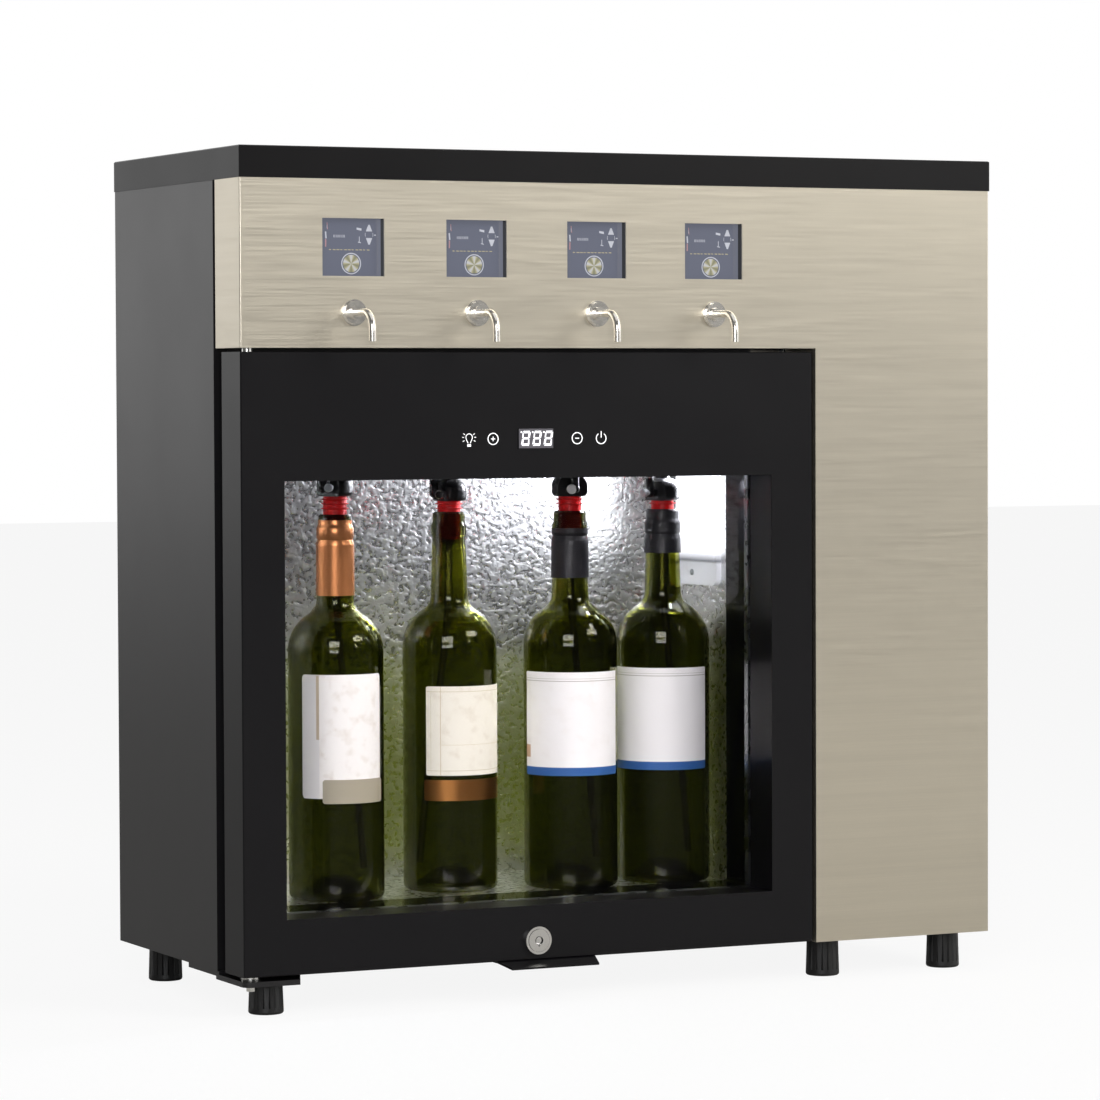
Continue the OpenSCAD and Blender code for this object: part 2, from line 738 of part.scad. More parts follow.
module fan_shroud() color("#18191b") cab() {
  cz = fan_z;
  half = cond_w / 2 + 1;
  motor = 20;
  difference() {
    block([bay_mid - half, shroud_y0, cz - cond_half - 4], [bay_mid + half, shroud_y1, cz + cond_half + 4]);
    rod_y(bay_mid, cz, shroud_y0 - 1, shroud_y1 + 1, fan_r + 2);
  }
  // motor can on three arms, with the shaft that carries the rotor
  rod_y(bay_mid, cz, shroud_y1 - motor, shroud_y1, 18);
  rod_y(bay_mid, cz, shroud_y0 + 6, shroud_y1 - motor + eps, fan_shaft_r);
  for (a = [30, 150, 270]) translate([bay_mid, 0, cz]) rotate([0, a, 0])
    block([14, shroud_y1 - 6, -4], [fan_r + 4, shroud_y1 - 0.5, 4]);
}

module fan_rotor() color("#2a2c30") cab() {
  hub_y0 = shroud_y0 + 7;
  hub_d = 26;
  pitch_angle = 34;
  blade_w = 28;
  translate([bay_mid, hub_y0, fan_z]) difference() {
    union() {
      rotate([-90, 0, 0]) cylinder(h = hub_d, r = 17);
      // flat pitched blades with round corners, rooted in the hub
      for (k = [0:fan_blades - 1]) rotate([0, k * 360 / fan_blades, 0]) translate([0, hub_d / 2, 0])
        rotate([pitch_angle, 0, 0]) translate([0, 0, -1]) linear_extrude(2)
          round_rect([6, -blade_w / 2], [fan_r - 1.5, blade_w / 2], 5);
    }
    rotate([-90, 0, 0]) translate([0, 0, -1]) cylinder(h = hub_d + 2, r = fan_shaft_r + run_gap);
  }
}

module pipe(points, r) {
  for (i = [0:len(points) - 2]) {
    d = points[i + 1] - points[i];
    translate(points[i]) rotate([0, acos(d[2] / norm(d)), atan2(d[1], d[0])]) cylinder(h = norm(d), r = r);
  }
  for (i = [1:len(points) - 2]) translate(points[i]) sphere(r * 1.02);
}

module refrigerant_lines() color("#b87333") cab() {
  top = comp_z0 + comp_h + stub_h;
  cx = bay_mid - stub_x;
  gas_y = comp_y + stub_y;
  back_y = comp_y - stub_y;
  hx = bay_mid - 50;
  hy = cond_y0 + cond_d / 2;
  low = fan_z - cond_half - 16;
  high = fan_z + cond_half + 24;
  dry_y = 130;
  end_x = ch_x1 - evap_in;
  down_x = bay_x0 + 24;
  // hot gas to the condenser
  pipe([[cx, gas_y, top], [cx, gas_y, low], [hx, gas_y, low], [hx, hy, low],
    [hx, hy, fan_z - cond_half]], line_r);
  // liquid through the drier to the evaporator
  pipe([[hx, hy, fan_z + cond_half], [hx, hy, high], [hx, dry_y, high], [hx, dry_y, line_z[0]],
    [bay_x0 + 12, dry_y, line_z[0]], [bay_x0 + 12, line_y, line_z[0]],
    [end_x, line_y, line_z[0]]], line_r - 0.5);
  translate([hx, dry_y, high + 6]) cylinder(h = 60, r = 3 * line_r);
  // suction back to the compressor
  pipe([[end_x, line_y, line_z[1]], [down_x, line_y, line_z[1]], [down_x, 100, line_z[1]],
    [down_x, 100, top + 16], [cx, 100, top + 16], [cx, back_y, top + 16], [cx, back_y, top]], line_r);
}

module evaporator_plate() color("#c8cacc") cab() {
  x0 = ch_x0 + evap_in;
  x1 = ch_x1 - evap_in;
  y = ch_y1 + liner_t;
  z0 = floor_z + evap_in;
  z1 = ch_z1 - evap_in;
  runs = 7;
  bend_in = 30;
  gap = (z1 - z0 - 40) / (runs - 1);
  block([x0, y, z0], [x1, y + 1.5, z1]);
  // channels joined by half rings into one winding way
  for (k = [0:runs - 1]) rod_x(y + evap_r, z0 + 20 + k * gap, x0 + bend_in, x1 - bend_in, evap_r);
  for (k = [0:runs - 2]) let (right = k % 2 == 0)
    translate([right ? x1 - bend_in : x0 + bend_in, y + evap_r, z0 + 20 + (k + 0.5) * gap])
    rotate([0, right ? 90 : -90, 0]) rotate([90, 0, 0]) rotate_extrude(angle = 180)
      translate([gap / 2, 0]) circle(evap_r);
}

// ---- hinges ----

step_z = -2.5;
bracket_t = 4;
bracket_w = 46;
bracket_y1 = 118;
plate_t = 3;

module hinge_brackets() color("#19191b") cab() {
  joggle = foam_y0 + 3;
  joggle_d = 6;
  corner = 6;
  side = 1;
  back_w = bracket_w + 24;
  // lower bracket: under the base at the back, stepped down under the door
  difference() {
    union() {
      translate([0, 0, -bracket_t]) linear_extrude(bracket_t) translate([side, joggle - joggle_d])
        square([back_w - side, bracket_y1 - joggle + joggle_d]);
      translate([0, 0, step_z - bracket_t]) linear_extrude(bracket_t) union() {
        polygon([[side + corner, side], [bracket_w, side], [back_w, joggle], [side, joggle],
          [side, side + corner]]);
        translate([side + corner, side + corner]) circle(corner);
      }
      translate([0, 0, step_z - 1]) linear_extrude(-step_z + 1 - 0.4)
        polygon([[side, joggle - joggle_d], [back_w - 3, joggle - joggle_d], [back_w, joggle],
          [side, joggle]]);
    }
    translate([hinge_x, hinge_y, -20]) cylinder(h = 40, r = pin_r);
    translate([0, 0, -20]) translate(feet_at[0]) cylinder(h = 40, r = foot_stud_r);
  }
  // upper bracket: inside the header, over the door's corner
  difference() {
    block([sheet, 3, head_z + sheet], [back_w, fascia_d - 2, head_z + sheet + plate_t]);
    translate([hinge_x, hinge_y, head_z]) cylinder(h = 10, r = pin_r);
  }
}

pin_in = 14;
pin_head_h = 3;
washer_r = 7.5;

module hinge_pins() color("#d7d8da") cab() {
  bottom = step_z - bracket_t;
  top = head_z + sheet + plate_t;
  translate([hinge_x, hinge_y, 0]) {
    // lower pin with its hexagon end, and the washer that carries the door
    translate([0, 0, bottom]) cylinder(h = door_lift + pin_in - bottom, r = pin_r);
    translate([0, 0, bottom - 5]) cylinder(h = 5 + eps, r = pin_r - 0.4, $fn = 6);
    translate([0, 0, step_z]) cylinder(h = door_lift - step_z - move_gap, r = washer_r);
    // upper pin, dropped in from the header
    translate([0, 0, door_top - pin_in]) cylinder(h = top - door_top + pin_in, r = pin_r);
    translate([0, 0, top]) cylinder(h = pin_head_h, r = pin_r + 2.5);
  }
}

module hinge_bushes() color("#e8e8e4") cab() {
  for (z = [door_lift, door_top - pin_in - 2]) translate([hinge_x, hinge_y, z]) difference() {
    cylinder(h = pin_in + 2, r = bush_r);
    translate([0, 0, -1]) cylinder(h = pin_in + 4, r = pin_r + run_gap);
  }
}

// ---- feet ----

// A ribbed foot whose top is at z top, with a stud above it
module foot(top, stud) {
  corner = 2;
  groove = 1.8;
  difference() {
    union() {
      rotate_extrude() polygon(concat([[0, -foot_h], [foot_r - corner, -foot_h]],
        arc(foot_r - corner, corner - foot_h, corner, -90, 0, 4),
        [[foot_r - 0.8, top - corner], [foot_r - corner, top], [0, top]]));
      translate([0, 0, top - eps]) cylinder(h = stud + eps, r = foot_stud_r);
    }
    // grip grooves
    for (a = [0:20:340]) rotate([0, 0, a]) translate([foot_r + 0.3, 0, 5 - foot_h]) rotate([0, 0, 45])
      translate([-groove / 2, -groove / 2, 0]) cube([groove, groove, top + foot_h]);
  }
}

module feet() color("#141414") cab() {
  translate(feet_at[0]) foot(step_z - bracket_t, bracket_t);
  for (i = [1:5]) translate(feet_at[i]) foot(0, base_t + nut_h);
}

// ---- door ----

module door_frame() color("#141416") cab() {
  w = door_wall;
  bevel = 0.8;
  difference() {
    hull() {
      block([0, bevel, door_lift], [door_w, door_t, door_top]);
      block([bevel, 0, door_lift + bevel], [door_w - bevel, door_t, door_top - bevel]);
    }
    // hollow behind the front skin, between the outer walls and the reveal
    difference() {
      block([w, w, door_lift + w], [door_w - w, door_t + 1, door_top - w]);
      block([win_x0 - w, 0, win_z0 - w], [win_x1 + w, glass_y0, win_z1 + w]);
    }
    block([win_x0, -1, win_z0], [win_x1, door_t + 1, win_z1]);
    block([win_x0 - w - 1, glass_y0, win_z0 - w - 1], [win_x1 + w + 1, door_t + 1, win_z1 + w + 1]);
    // lock, display, hinge pins and the cam's way out
    rod_y(lock_x, lock_z, -1, w + 1, barrel_r + 0.1);
    block([lock_x - disp_w / 2, -1, disp_z - disp_h / 2], [lock_x + disp_w / 2, w + 1, disp_z + disp_h / 2]);
    for (z = [door_lift - 1, door_top - w - 1]) translate([hinge_x, hinge_y, z])
      cylinder(h = w + 2, r = bush_r);
    cam_slot(door_lift - 1, door_lift + w + 1);
  }
}

// The way of the cam through the door's lower edge and the keeper
module cam_slot(z0, z1) block([lock_x - cam_w / 2 - 4, cam_y0 - 2.5, z0],
  [lock_x + cam_len + 5, cam_y0 + cam_t + 2.5, z1]);

bush_r = pin_r + 3;
seal_x0 = 13.5;
seal_z0 = door_lift + 19;
seal_x1 = door_w - seal_x0;
seal_z1 = door_top - 9;

module door_back_frame() color("#101012") cab() {
  w = door_wall + 0.1;
  gx0 = win_x0 - glass_lap - rim_gap;
  gz0 = win_z0 - glass_lap - rim_gap;
  gx1 = win_x1 + glass_lap + rim_gap;
  gz1 = win_z1 + glass_lap + rim_gap;
  // closing plate
  slab(glass_y0, glass_y0 + back_plate_t) difference() {
    translate([w, door_lift + w]) square([door_w - 2 * w, door_top - door_lift - 2 * w]);
    translate([gx0, gz0]) square([gx1 - gx0, gz1 - gz0]);
  }
  // rim round the glass, with a lip behind it
  frame_ring([gx0 - rim_w, gz0 - rim_w], [gx1 + rim_w, gz1 + rim_w], rim_w,
    glass_y0 + back_plate_t - eps, glass_y1 + 0.3, 0.5);
  frame_ring([gx0 - rim_w, gz0 - rim_w], [gx1 + rim_w, gz1 + rim_w], 3 * rim_w,
    glass_y1, glass_y1 + 1.6, 0.5);
}

module door_glass() color([0.75, 0.85, 0.85, 0.3]) cab() {
  l = glass_lap;
  for (y = [glass_y0, glass_y0 + pane_t + pane_gap])
    block([win_x0 - l, y, win_z0 - l], [win_x1 + l, y + pane_t, win_z1 + l]);
}

module glazing_spacer() color("#b8babd") cab() {
  l = glass_lap - 1.5;
  frame_ring([win_x0 - l, win_z0 - l], [win_x1 + l, win_z1 + l], l + 0.2,
    glass_y0 + pane_t, glass_y0 + pane_t + pane_gap, 0.5);
}

module door_gasket() color("#0d0d0d") cab() {
  y0 = glass_y0 + back_plate_t;
  y1 = door_y1 - move_gap;
  w = seal_w;
  a = [seal_x0, seal_z0];
  b = [seal_x1, seal_z1];
  root = 3;
  bulb = 5;
  waist = 1.5;
  // bellows between a root on the door and a magnet bulb
  frame_ring(a, b, w, y0, y0 + root);
  frame_ring(a + [waist, waist], b - [waist, waist], w - 2 * waist, y0 + root - eps, y1 - bulb + eps);
  frame_ring(a, b, w, y1 - bulb, y1);
}

disp_w = 30.6;
disp_h = 15.6;
disp_z = win_z1 + 30.3;

module display_module() color("#1b1c20") cab() {
  w = door_wall;
  key_span = 68;
  half_w = disp_w / 2 - fit_gap;
  half_h = disp_h / 2 - fit_gap;
  // smoked window, board behind the keys, and the digits' case
  block([lock_x - half_w, 0.3, disp_z - half_h], [lock_x + half_w, w + 2, disp_z + half_h]);
  block([lock_x - key_span, w, disp_z - 12], [lock_x + key_span, w + 1.6, disp_z + 12]);
  block([lock_x - 22, w + 1.5, disp_z - 10], [lock_x + 22, w + 9, disp_z + 10]);
}

pull_x0 = lock_x - 33;
pull_w = 83;
pull_t = 1.5;

module door_pull() color("#0f0f10") cab() {
  out = 15.6;
  drop = 3.6;
  taper = 4.4;
  z = door_lift;
  // flange screwed under the door, and the finger lip
  block([pull_x0, 1, z - pull_t], [pull_x0 + pull_w, 18, z]);
  hull() {
    block([pull_x0, 0.5, z - pull_t], [pull_x0 + pull_w, 2, z]);
    block([pull_x0 + taper, -out, z - drop - pull_t], [pull_x0 + pull_w - taper, 0.5 - out, z - drop]);
  }
}

// ---- lock ----

cam_t = 2;
face_y1 = -bezel_t + 1.4;
barrel_len = 27;
cam_y0 = barrel_len + 1;
barrel_r = 9.3;

module lock_housing() color("#cfd0d2") cab() {
  difference() {
    union() {
      rod_y(lock_x, lock_z, -bezel_t, 0, bezel_r);
      rod_y(lock_x, lock_z, -eps, barrel_len, barrel_r);
      rod_y(lock_x, lock_z, door_wall, door_wall + 4, barrel_r + 2.5);
    }
    rod_y(lock_x, lock_z, -bezel_t - 1, face_y1 + 0.4, plug_face_r + move_gap);
    rod_y(lock_x, lock_z, -bezel_t - 1, barrel_len + 1, spindle_r + run_gap);
  }
}

module lock_cylinder() color("#dcdad5") cab() {
  key_deep = 6;
  difference() {
    union() {
      rod_y(lock_x, lock_z, -bezel_t - 0.4, face_y1, plug_face_r);
      rod_y(lock_x, lock_z, face_y1 - eps, cam_y0 + cam_t + eps, spindle_r);
      // nut behind the cam
      rod_y(lock_x, lock_z, cam_y0 + cam_t, cam_y0 + cam_t + 2.5, spindle_r + 1);
      // cam, lying sideways while the door is free
      slab(cam_y0, cam_y0 + cam_t) union() {
        translate([lock_x, lock_z]) circle(spindle_r + 2);
        translate([lock_x, lock_z - cam_w / 2]) square([cam_len, cam_w]);
      }
    }
    // way of a tubular key, with its notch
    rod_y(lock_x, lock_z, -bezel_t - 1, key_deep, key_r);
    block([lock_x - 0.8, -bezel_t - 1, lock_z - key_r - 1.2], [lock_x + 0.8, 4, lock_z - key_r + 1]);
  }
  rod_y(lock_x, lock_z, -bezel_t + 0.4, key_deep + eps, key_r - 1.1);
}

module lock_keeper() color("#151516") cab() {
  t = 2;
  x0 = lock_x - 28;
  x1 = lock_x + 44;
  y0 = cam_y0 - 6.5;
  y1 = foam_y0 + 28;
  corner = 6;
  difference() {
    translate([0, 0, -t]) linear_extrude(t) polygon([
      [x0 + corner, y0], [x1 - corner, y0], [x1, y0 + corner], [x1, y1], [x0, y1], [x0, y0 + corner]]);
    cam_slot(-t - 1, 1);
    for (x = [x0 + 12, x1 - 12]) translate([x, y1 - 12, -t - 1]) cylinder(h = t + 2, r = 2);
  }
}

// ---- bottles ----

shoulder_h = bottle_h - 107;
shoulder_r = 34;
neck_r = 14.9;
turn = 60;

// Half outline of a bottle drawn in by d, from the edge of the base to the neck
function bottle_side(d) = let (
    cx = bottle_r - shoulder_r,
    px = cx + shoulder_r * cos(turn),
    pz = shoulder_h + shoulder_r * sin(turn),
    rc = (px - neck_r) / (1 - cos(turn)))
  concat(
    arc(bottle_r - 5, 5, 5 - d / 2, -90, 0, 4),
    arc(cx, shoulder_h, shoulder_r - d, 0, turn, 8),
    arc(px + rc * cos(turn), pz + rc * sin(turn), rc + d, 180 + turn, 180, 5));

module bottle(i) {
  h = bottle_h;
  w = bottle_wall;
  punt = 16;
  outer = concat([[0, punt], [12, punt - 2]], [[24, 5], [29, 0.6]], bottle_side(0),
    [[13.4, h - 20], [14.2, h - 18.5], [14.3, h - 11], [13.4, h - 9], [13, h - 8],
      [13, h - 1.5], [11.8, h], [0, h]]);
  inner = concat([[0, punt + w], [12, punt + w - 2], [24, 5 + w], [29, w + 1]], bottle_side(w),
    [[mouth_r + 0.6, h - 30], [mouth_r, h - 26], [mouth_r, h + 1], [0, h + 1]]);
  color("#2c3a12") cab() translate([bottle_x(i), bottle_y[i], floor_z]) rotate_extrude($fn = 64)
    difference() {
      polygon(outer);
      polygon(inner);
    }
}

// ---- stoppers ----

boss_flat = 8;
cap_h = 22;
nipple_h = 6;
elbow_out = 14;
elbow_z = 6.5;
elbow_up = 12;

module stopper_head(i) {
  z0 = mouth_z + plug_out[i];
  hole = mouth_z - z0 - plug_deep;
  lip_r = 3.5;
  dome_r = 10;
  dome_z = 8.5;
  color("#151517") cab() translate([bottle_x(i), bottle_y[i], z0]) {
    // cap with a rounded foot and shoulder, flat on the elbow's side
    difference() {
      rotate_extrude() polygon(concat([[0, 0], [head_r - lip_r, 0]],
        arc(head_r - lip_r, lip_r, lip_r, -90, 0, 5),
        arc(head_r - dome_r, dome_z, dome_r, 0, 72, 7), [[6, 18.4], [5.5, cap_h], [0, cap_h]]));
      rotate([0, 0, elbow_turn[i]]) block([boss_flat, -20, -1], [30, 20, 15.5]);
    }
    // nipple for the wine hose
    translate([0, 0, cap_h - eps]) cylinder(h = nipple_h, r = hose_r + 0.4);
    // gas elbow at the side
    rotate([0, 0, elbow_turn[i]]) {
      rod_x(0, elbow_z, boss_flat - eps, elbow_out, hose_r + 0.2);
      translate([elbow_out, 0, elbow_z]) sphere(hose_r + 0.8);
      translate([elbow_out, 0, elbow_z]) cylinder(h = elbow_up, r = hose_r + 0.4);
    }
    // dip tube through the plug, curving to the foot of the bottle
    translate([0, 0, hole]) cylinder(h = -hole + 1, r = hose_r);
    tube(dip_path(i, hole), hose_r);
  }
}

function dip_path(i, top) = let (end = floor_z + 22 - mouth_z - plug_out[i], s = [1, -1, 1, 1][i])
  bez([0, 0, top + 1], [0, 0, top - 110], [s * 14, 2, top - 120], [s * 25, 4, end], 12);

module stopper_plug(i) {
  z0 = mouth_z + plug_out[i];
  fin = 1.9;
  fin_step = 3.6;
  fins = floor((plug_out[i] - 1) / fin_step);
  color("#b3101c") cab() translate([bottle_x(i), bottle_y[i], 0]) difference() {
    union() {
      translate([0, 0, mouth_z - plug_deep]) cylinder(h = plug_deep + plug_out[i], r = plug_r);
      // thin fins where the plug stands out of the mouth
      for (k = [0:fins - 1]) translate([0, 0, z0 - 2.2 - k * fin_step]) rotate_extrude()
        polygon([[plug_r - 1, -1], [plug_r + fin, -0.1], [plug_r + fin, 0.3], [plug_r - 1, 0.7]]);
    }
    translate([0, 0, mouth_z - plug_deep - 1]) cylinder(h = plug_deep + plug_out[i] + 2, r = hose_r);
  }
}

// ---- hoses in the chamber, from a stopper up to the ceiling ----

// How far a hose runs straight on at each end, as a share of its rise
hose_lead = 0.28;

module hose(i) {
  z0 = mouth_z + plug_out[i];
  a = elbow_turn[i];
  wine = [bottle_x(i), bottle_y[i], z0 + cap_h + nipple_h + move_gap];
  gas = [bottle_x(i) + elbow_out * cos(a), bottle_y[i] + elbow_out * sin(a),
    z0 + elbow_z + elbow_up + move_gap];
  color("#17181a") cab() for (run = [[wine, ports(i)[0]], [gas, ports(i)[1]]])
    let (end = [run[1][0], run[1][1], ch_z1 - flange_t], lead = [0, 0, hose_lead * (end[2] - run[0][2])])
      tube(bez(run[0], run[0] + lead, end - lead, end, 8), hose_r);
}

lid();
left_side_panel();
right_side_panel();
back_panel();
base_pan();
front_fascia();
partition_panel();
foam_insulation();
chamber_liner();
breaker_frame();
light_cover();
led_strip();
evaporator_plate();
compressor();
compressor_mounts();
condenser();
fan_shroud();
fan_rotor();
refrigerant_lines();
gas_manifold();
wine_valves();
header_tubes();
hose_grommets();
control_board();
power_supply();
power_inlet();
gas_inlet();
hinge_brackets();
hinge_pins();
lock_keeper();
feet();
screen_housings();
touch_screens();
spouts();
door_frame();
door_back_frame();
door_glass();
glazing_spacer();
door_gasket();
display_module();
door_pull();
lock_housing();
hinge_bushes();
lock_cylinder();
bottle(0);  // bottle_1
bottle(1);  // bottle_2
bottle(2);  // bottle_3
bottle(3);  // bottle_4
hose(0);  // hose_1
hose(1);  // hose_2
hose(2);  // hose_3
hose(3);  // hose_4
stopper_head(0);  // stopper_head_1
stopper_head(1);  // stopper_head_2
stopper_head(2);  // stopper_head_3
stopper_head(3);  // stopper_head_4
stopper_plug(0);  // stopper_plug_1
stopper_plug(1);  // stopper_plug_2
stopper_plug(2);  // stopper_plug_3
stopper_plug(3);  // stopper_plug_4
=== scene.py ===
import math

import bmesh
import bpy
from mathutils import Matrix, Vector


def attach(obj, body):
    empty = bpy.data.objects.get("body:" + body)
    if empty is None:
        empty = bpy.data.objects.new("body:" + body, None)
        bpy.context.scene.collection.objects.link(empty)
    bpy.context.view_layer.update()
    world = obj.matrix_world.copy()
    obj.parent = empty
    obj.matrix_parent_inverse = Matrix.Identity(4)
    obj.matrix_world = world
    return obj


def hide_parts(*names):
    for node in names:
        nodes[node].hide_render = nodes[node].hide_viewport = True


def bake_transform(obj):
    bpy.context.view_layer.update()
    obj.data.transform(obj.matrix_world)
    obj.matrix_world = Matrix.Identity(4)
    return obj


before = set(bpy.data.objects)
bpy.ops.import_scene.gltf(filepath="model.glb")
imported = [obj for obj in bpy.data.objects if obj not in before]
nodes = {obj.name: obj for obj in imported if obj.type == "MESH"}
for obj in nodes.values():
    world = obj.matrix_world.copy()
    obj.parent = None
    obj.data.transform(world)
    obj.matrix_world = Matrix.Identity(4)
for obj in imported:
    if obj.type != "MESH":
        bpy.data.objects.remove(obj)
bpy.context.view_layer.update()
scene = bpy.context.scene
mm = 0.001

# The body's front left lower corner in the row frame: positions below are millimetres from it
bodyCorner = Vector((-325, -121.85, 30)) * mm


def place(x, y, z):
    return bodyCorner + Vector((x, y, z)) * mm


# The camera, as fitted to the photograph
camera = {
    "position": (-1.53468, -3.16268, 0.46886),
    "yaw": 25.727,       # turned to the right of straight ahead
    "down": 2.0618,
    "roll": -0.2111,
    "lens": 143.30,
    "sensor": 36.0,
}


def makeCamera(s):
    yaw, down, roll = (math.radians(s[k]) for k in ("yaw", "down", "roll"))
    ahead = Vector((math.sin(yaw) * math.cos(down), math.cos(yaw) * math.cos(down), -math.sin(down)))
    level = Vector((math.cos(yaw), -math.sin(yaw), 0))
    above = level.cross(ahead)
    right = math.cos(roll) * level + math.sin(roll) * above
    up = -math.sin(roll) * level + math.cos(roll) * above
    data = bpy.data.cameras.new("camera")
    data.lens, data.sensor_width, data.clip_end = s["lens"], s["sensor"], 50
    cam = bpy.data.objects.new("camera", data)
    scene.collection.objects.link(cam)
    cam.matrix_world = Matrix((
        (right.x, up.x, -ahead.x, s["position"][0]),
        (right.y, up.y, -ahead.y, s["position"][1]),
        (right.z, up.z, -ahead.z, s["position"][2]),
        (0, 0, 0, 1)))
    scene.camera = cam


makeCamera(camera)
scene.view_settings.view_transform = "Standard"
print("camera set")


# Small tools for colours, nodes and meshes
def hexColour(text):
    # sRGB hex to linear
    parts = [int(text[i:i + 2], 16) / 255 for i in (1, 3, 5)]
    return tuple(c / 12.92 if c <= 0.04045 else ((c + 0.055) / 1.055) ** 2.4 for c in parts) + (1,)


def grey(v):
    return (v, v, v, 1)


def shade(colour, factor):
    return tuple(min(1, c * factor) for c in colour[:3]) + (1,)


def link(tree, node, links):
    # a source is an output socket, or a node whose first output is meant
    for name, source in links.items():
        socket = source.outputs[0] if isinstance(source, bpy.types.Node) else source
        tree.links.new(socket, node.inputs[name])


def addNode(tree, kind, settings=None, links=None):
    # settings are socket values, properties of the node, or the stops of a colour ramp
    node = tree.nodes.new(kind)
    for name, value in (settings or {}).items():
        if name == "stops":
            band = node.color_ramp
            while len(band.elements) < len(value):
                band.elements.new(0.5)
            for element, (at, colour) in zip(band.elements, value):
                element.position, element.color = at, colour
        elif isinstance(name, int) or name in node.inputs:
            node.inputs[name].default_value = value
        else:
            setattr(node, name, value)
    link(tree, node, links or {})
    return node


def newMaterial(name, settings):
    material = bpy.data.materials.new(name)
    material.use_nodes = True
    tree = material.node_tree
    tree.nodes.clear()
    shader = addNode(tree, "ShaderNodeBsdfPrincipled", settings)
    addNode(tree, "ShaderNodeOutputMaterial", None, {"Surface": shader})
    return material, tree, shader


def objectPoint(tree, size=(1, 1, 1)):
    # position over a size in metres, so that a pattern of scale 1 has grains of about that size
    point = addNode(tree, "ShaderNodeTexCoord")
    scale = tuple(1 / d for d in size)
    return addNode(tree, "ShaderNodeMapping", {"Scale": scale}, {"Vector": point.outputs["Object"]})


def fineRelief(tree, shader, size, depth, noise):
    # a bump of this depth with grains of this size, both in metres
    grain = addNode(tree, "ShaderNodeTexNoise", {"Scale": 1.0, **noise}, {"Vector": objectPoint(tree, size)})
    bump = addNode(tree, "ShaderNodeBump", {"Distance": depth}, {"Height": grain})
    link(tree, shader, {"Normal": bump})
    return grain


def unevenSheen(tree, shader, roughness, swing, noise):
    # roughness that drifts to both sides of its value, as handling and curing leave it
    cloud = addNode(tree, "ShaderNodeTexNoise", noise, {"Vector": objectPoint(tree)})
    low, high = roughness * (1 - swing), min(1, roughness * (1 + swing))
    sheen = addNode(tree, "ShaderNodeValToRGB", {"stops": [(0.35, grey(low)), (0.7, grey(high))]}, {"Fac": cloud})
    link(tree, shader, {"Roughness": sheen})


def dress(node, material):
    mesh = nodes[node].data
    if not mesh.materials:
        mesh.materials.append(material)
    for i in range(len(mesh.materials)):
        mesh.materials[i] = material


def smoothMesh(obj, angle=35):
    for face in obj.data.polygons:
        face.use_smooth = True
    obj.data.set_sharp_from_angle(angle=math.radians(angle))


def addPiece(name, mesh, material, body=None):
    mesh.materials.append(material)
    obj = bpy.data.objects.new(name, mesh)
    scene.collection.objects.link(obj)
    if body:
        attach(obj, body)
    return obj


def newPiece(name, points, faces, material, body=None):
    mesh = bpy.data.meshes.new(name)
    mesh.from_pydata([tuple(p) for p in points], [], faces)
    mesh.update()
    return addPiece(name, mesh, material, body)


def fixNormals(obj, join=None):
    # join is the distance in metres under which corners become one
    work = bmesh.new()
    work.from_mesh(obj.data)
    if join:
        bmesh.ops.remove_doubles(work, verts=work.verts, dist=join)
    bmesh.ops.recalc_face_normals(work, faces=work.faces)
    work.to_mesh(obj.data)
    work.free()


studio = {
    "backdrop": "#ffffff",
    # the floor to the eye, in the light it throws back, and from inside the chamber
    "floor": "#ffffff", "floorBounce": "#d2d0cc", "floorInside": "#3f3e3c",
    "floorWhite": 0.9,  # share of plain white in what the eye sees of the floor
    "floorHalf": 12,
    # light from all round, outside and through the door's glass
    "worldLight": 0.2, "throughGlass": 0.02,
    # what gloss shows of the room, from the front left by the right to behind: place on the ramp, strength
    "gloss": [(0.3, 0.12), (0.74, 0.12), (0.86, 2.1), (0.97, 1.2)],
    "aim": (0, 0, 0.33),
    "roomLamps": [
        {"name": "keyLamp", "watts": 46, "size": 1.4, "at": (1.7, -2.3, 1.9), "colour": "#fffdf8"},
        {"name": "fillLamp", "watts": 54, "size": 1.6, "at": (-1.7, -2.9, 1.3), "colour": "#fbfcff"},
        {"name": "topLamp", "watts": 10, "size": 2.0, "at": (0.0, -0.4, 2.6), "colour": "#ffffff"},
    ],
    # the chamber's own light, just in front of its cover on the right wall, and the light that the green bottles
    # pass on to the lower back wall; both in the cabinet's mm
    "chamberLamps": [
        {"name": "chamberLamp", "watts": 3.0, "size": 0.05, "tall": 0.12, "spread": 140, "colour": "#f4f7ff",
         "at": (452, 140, 385), "aim": (230, 175, 350)},
        {"name": "bottleGlow", "watts": 0.07, "size": 0.4, "tall": 0.17, "spread": 180, "colour": "#8c9a12",
         "at": (245, 196, 135), "aim": (245, 240, 135)},
    ],
}


def seenDirectly(tree):
    # 1 for camera rays, and for those that only went straight through clear pieces
    path = addNode(tree, "ShaderNodeLightPath")
    fresh = path.outputs["Is Transmission Ray"]
    for depth in ("Glossy Depth", "Diffuse Depth"):
        none = addNode(tree, "ShaderNodeMath", {"operation": "LESS_THAN", 1: 0.5}, {0: path.outputs[depth]})
        fresh = addNode(tree, "ShaderNodeMath", {"operation": "MULTIPLY"}, {0: fresh, 1: none})
    seen = addNode(tree, "ShaderNodeMath", {"operation": "MAXIMUM"}, {0: path.outputs["Is Camera Ray"], 1: fresh})
    return seen, path


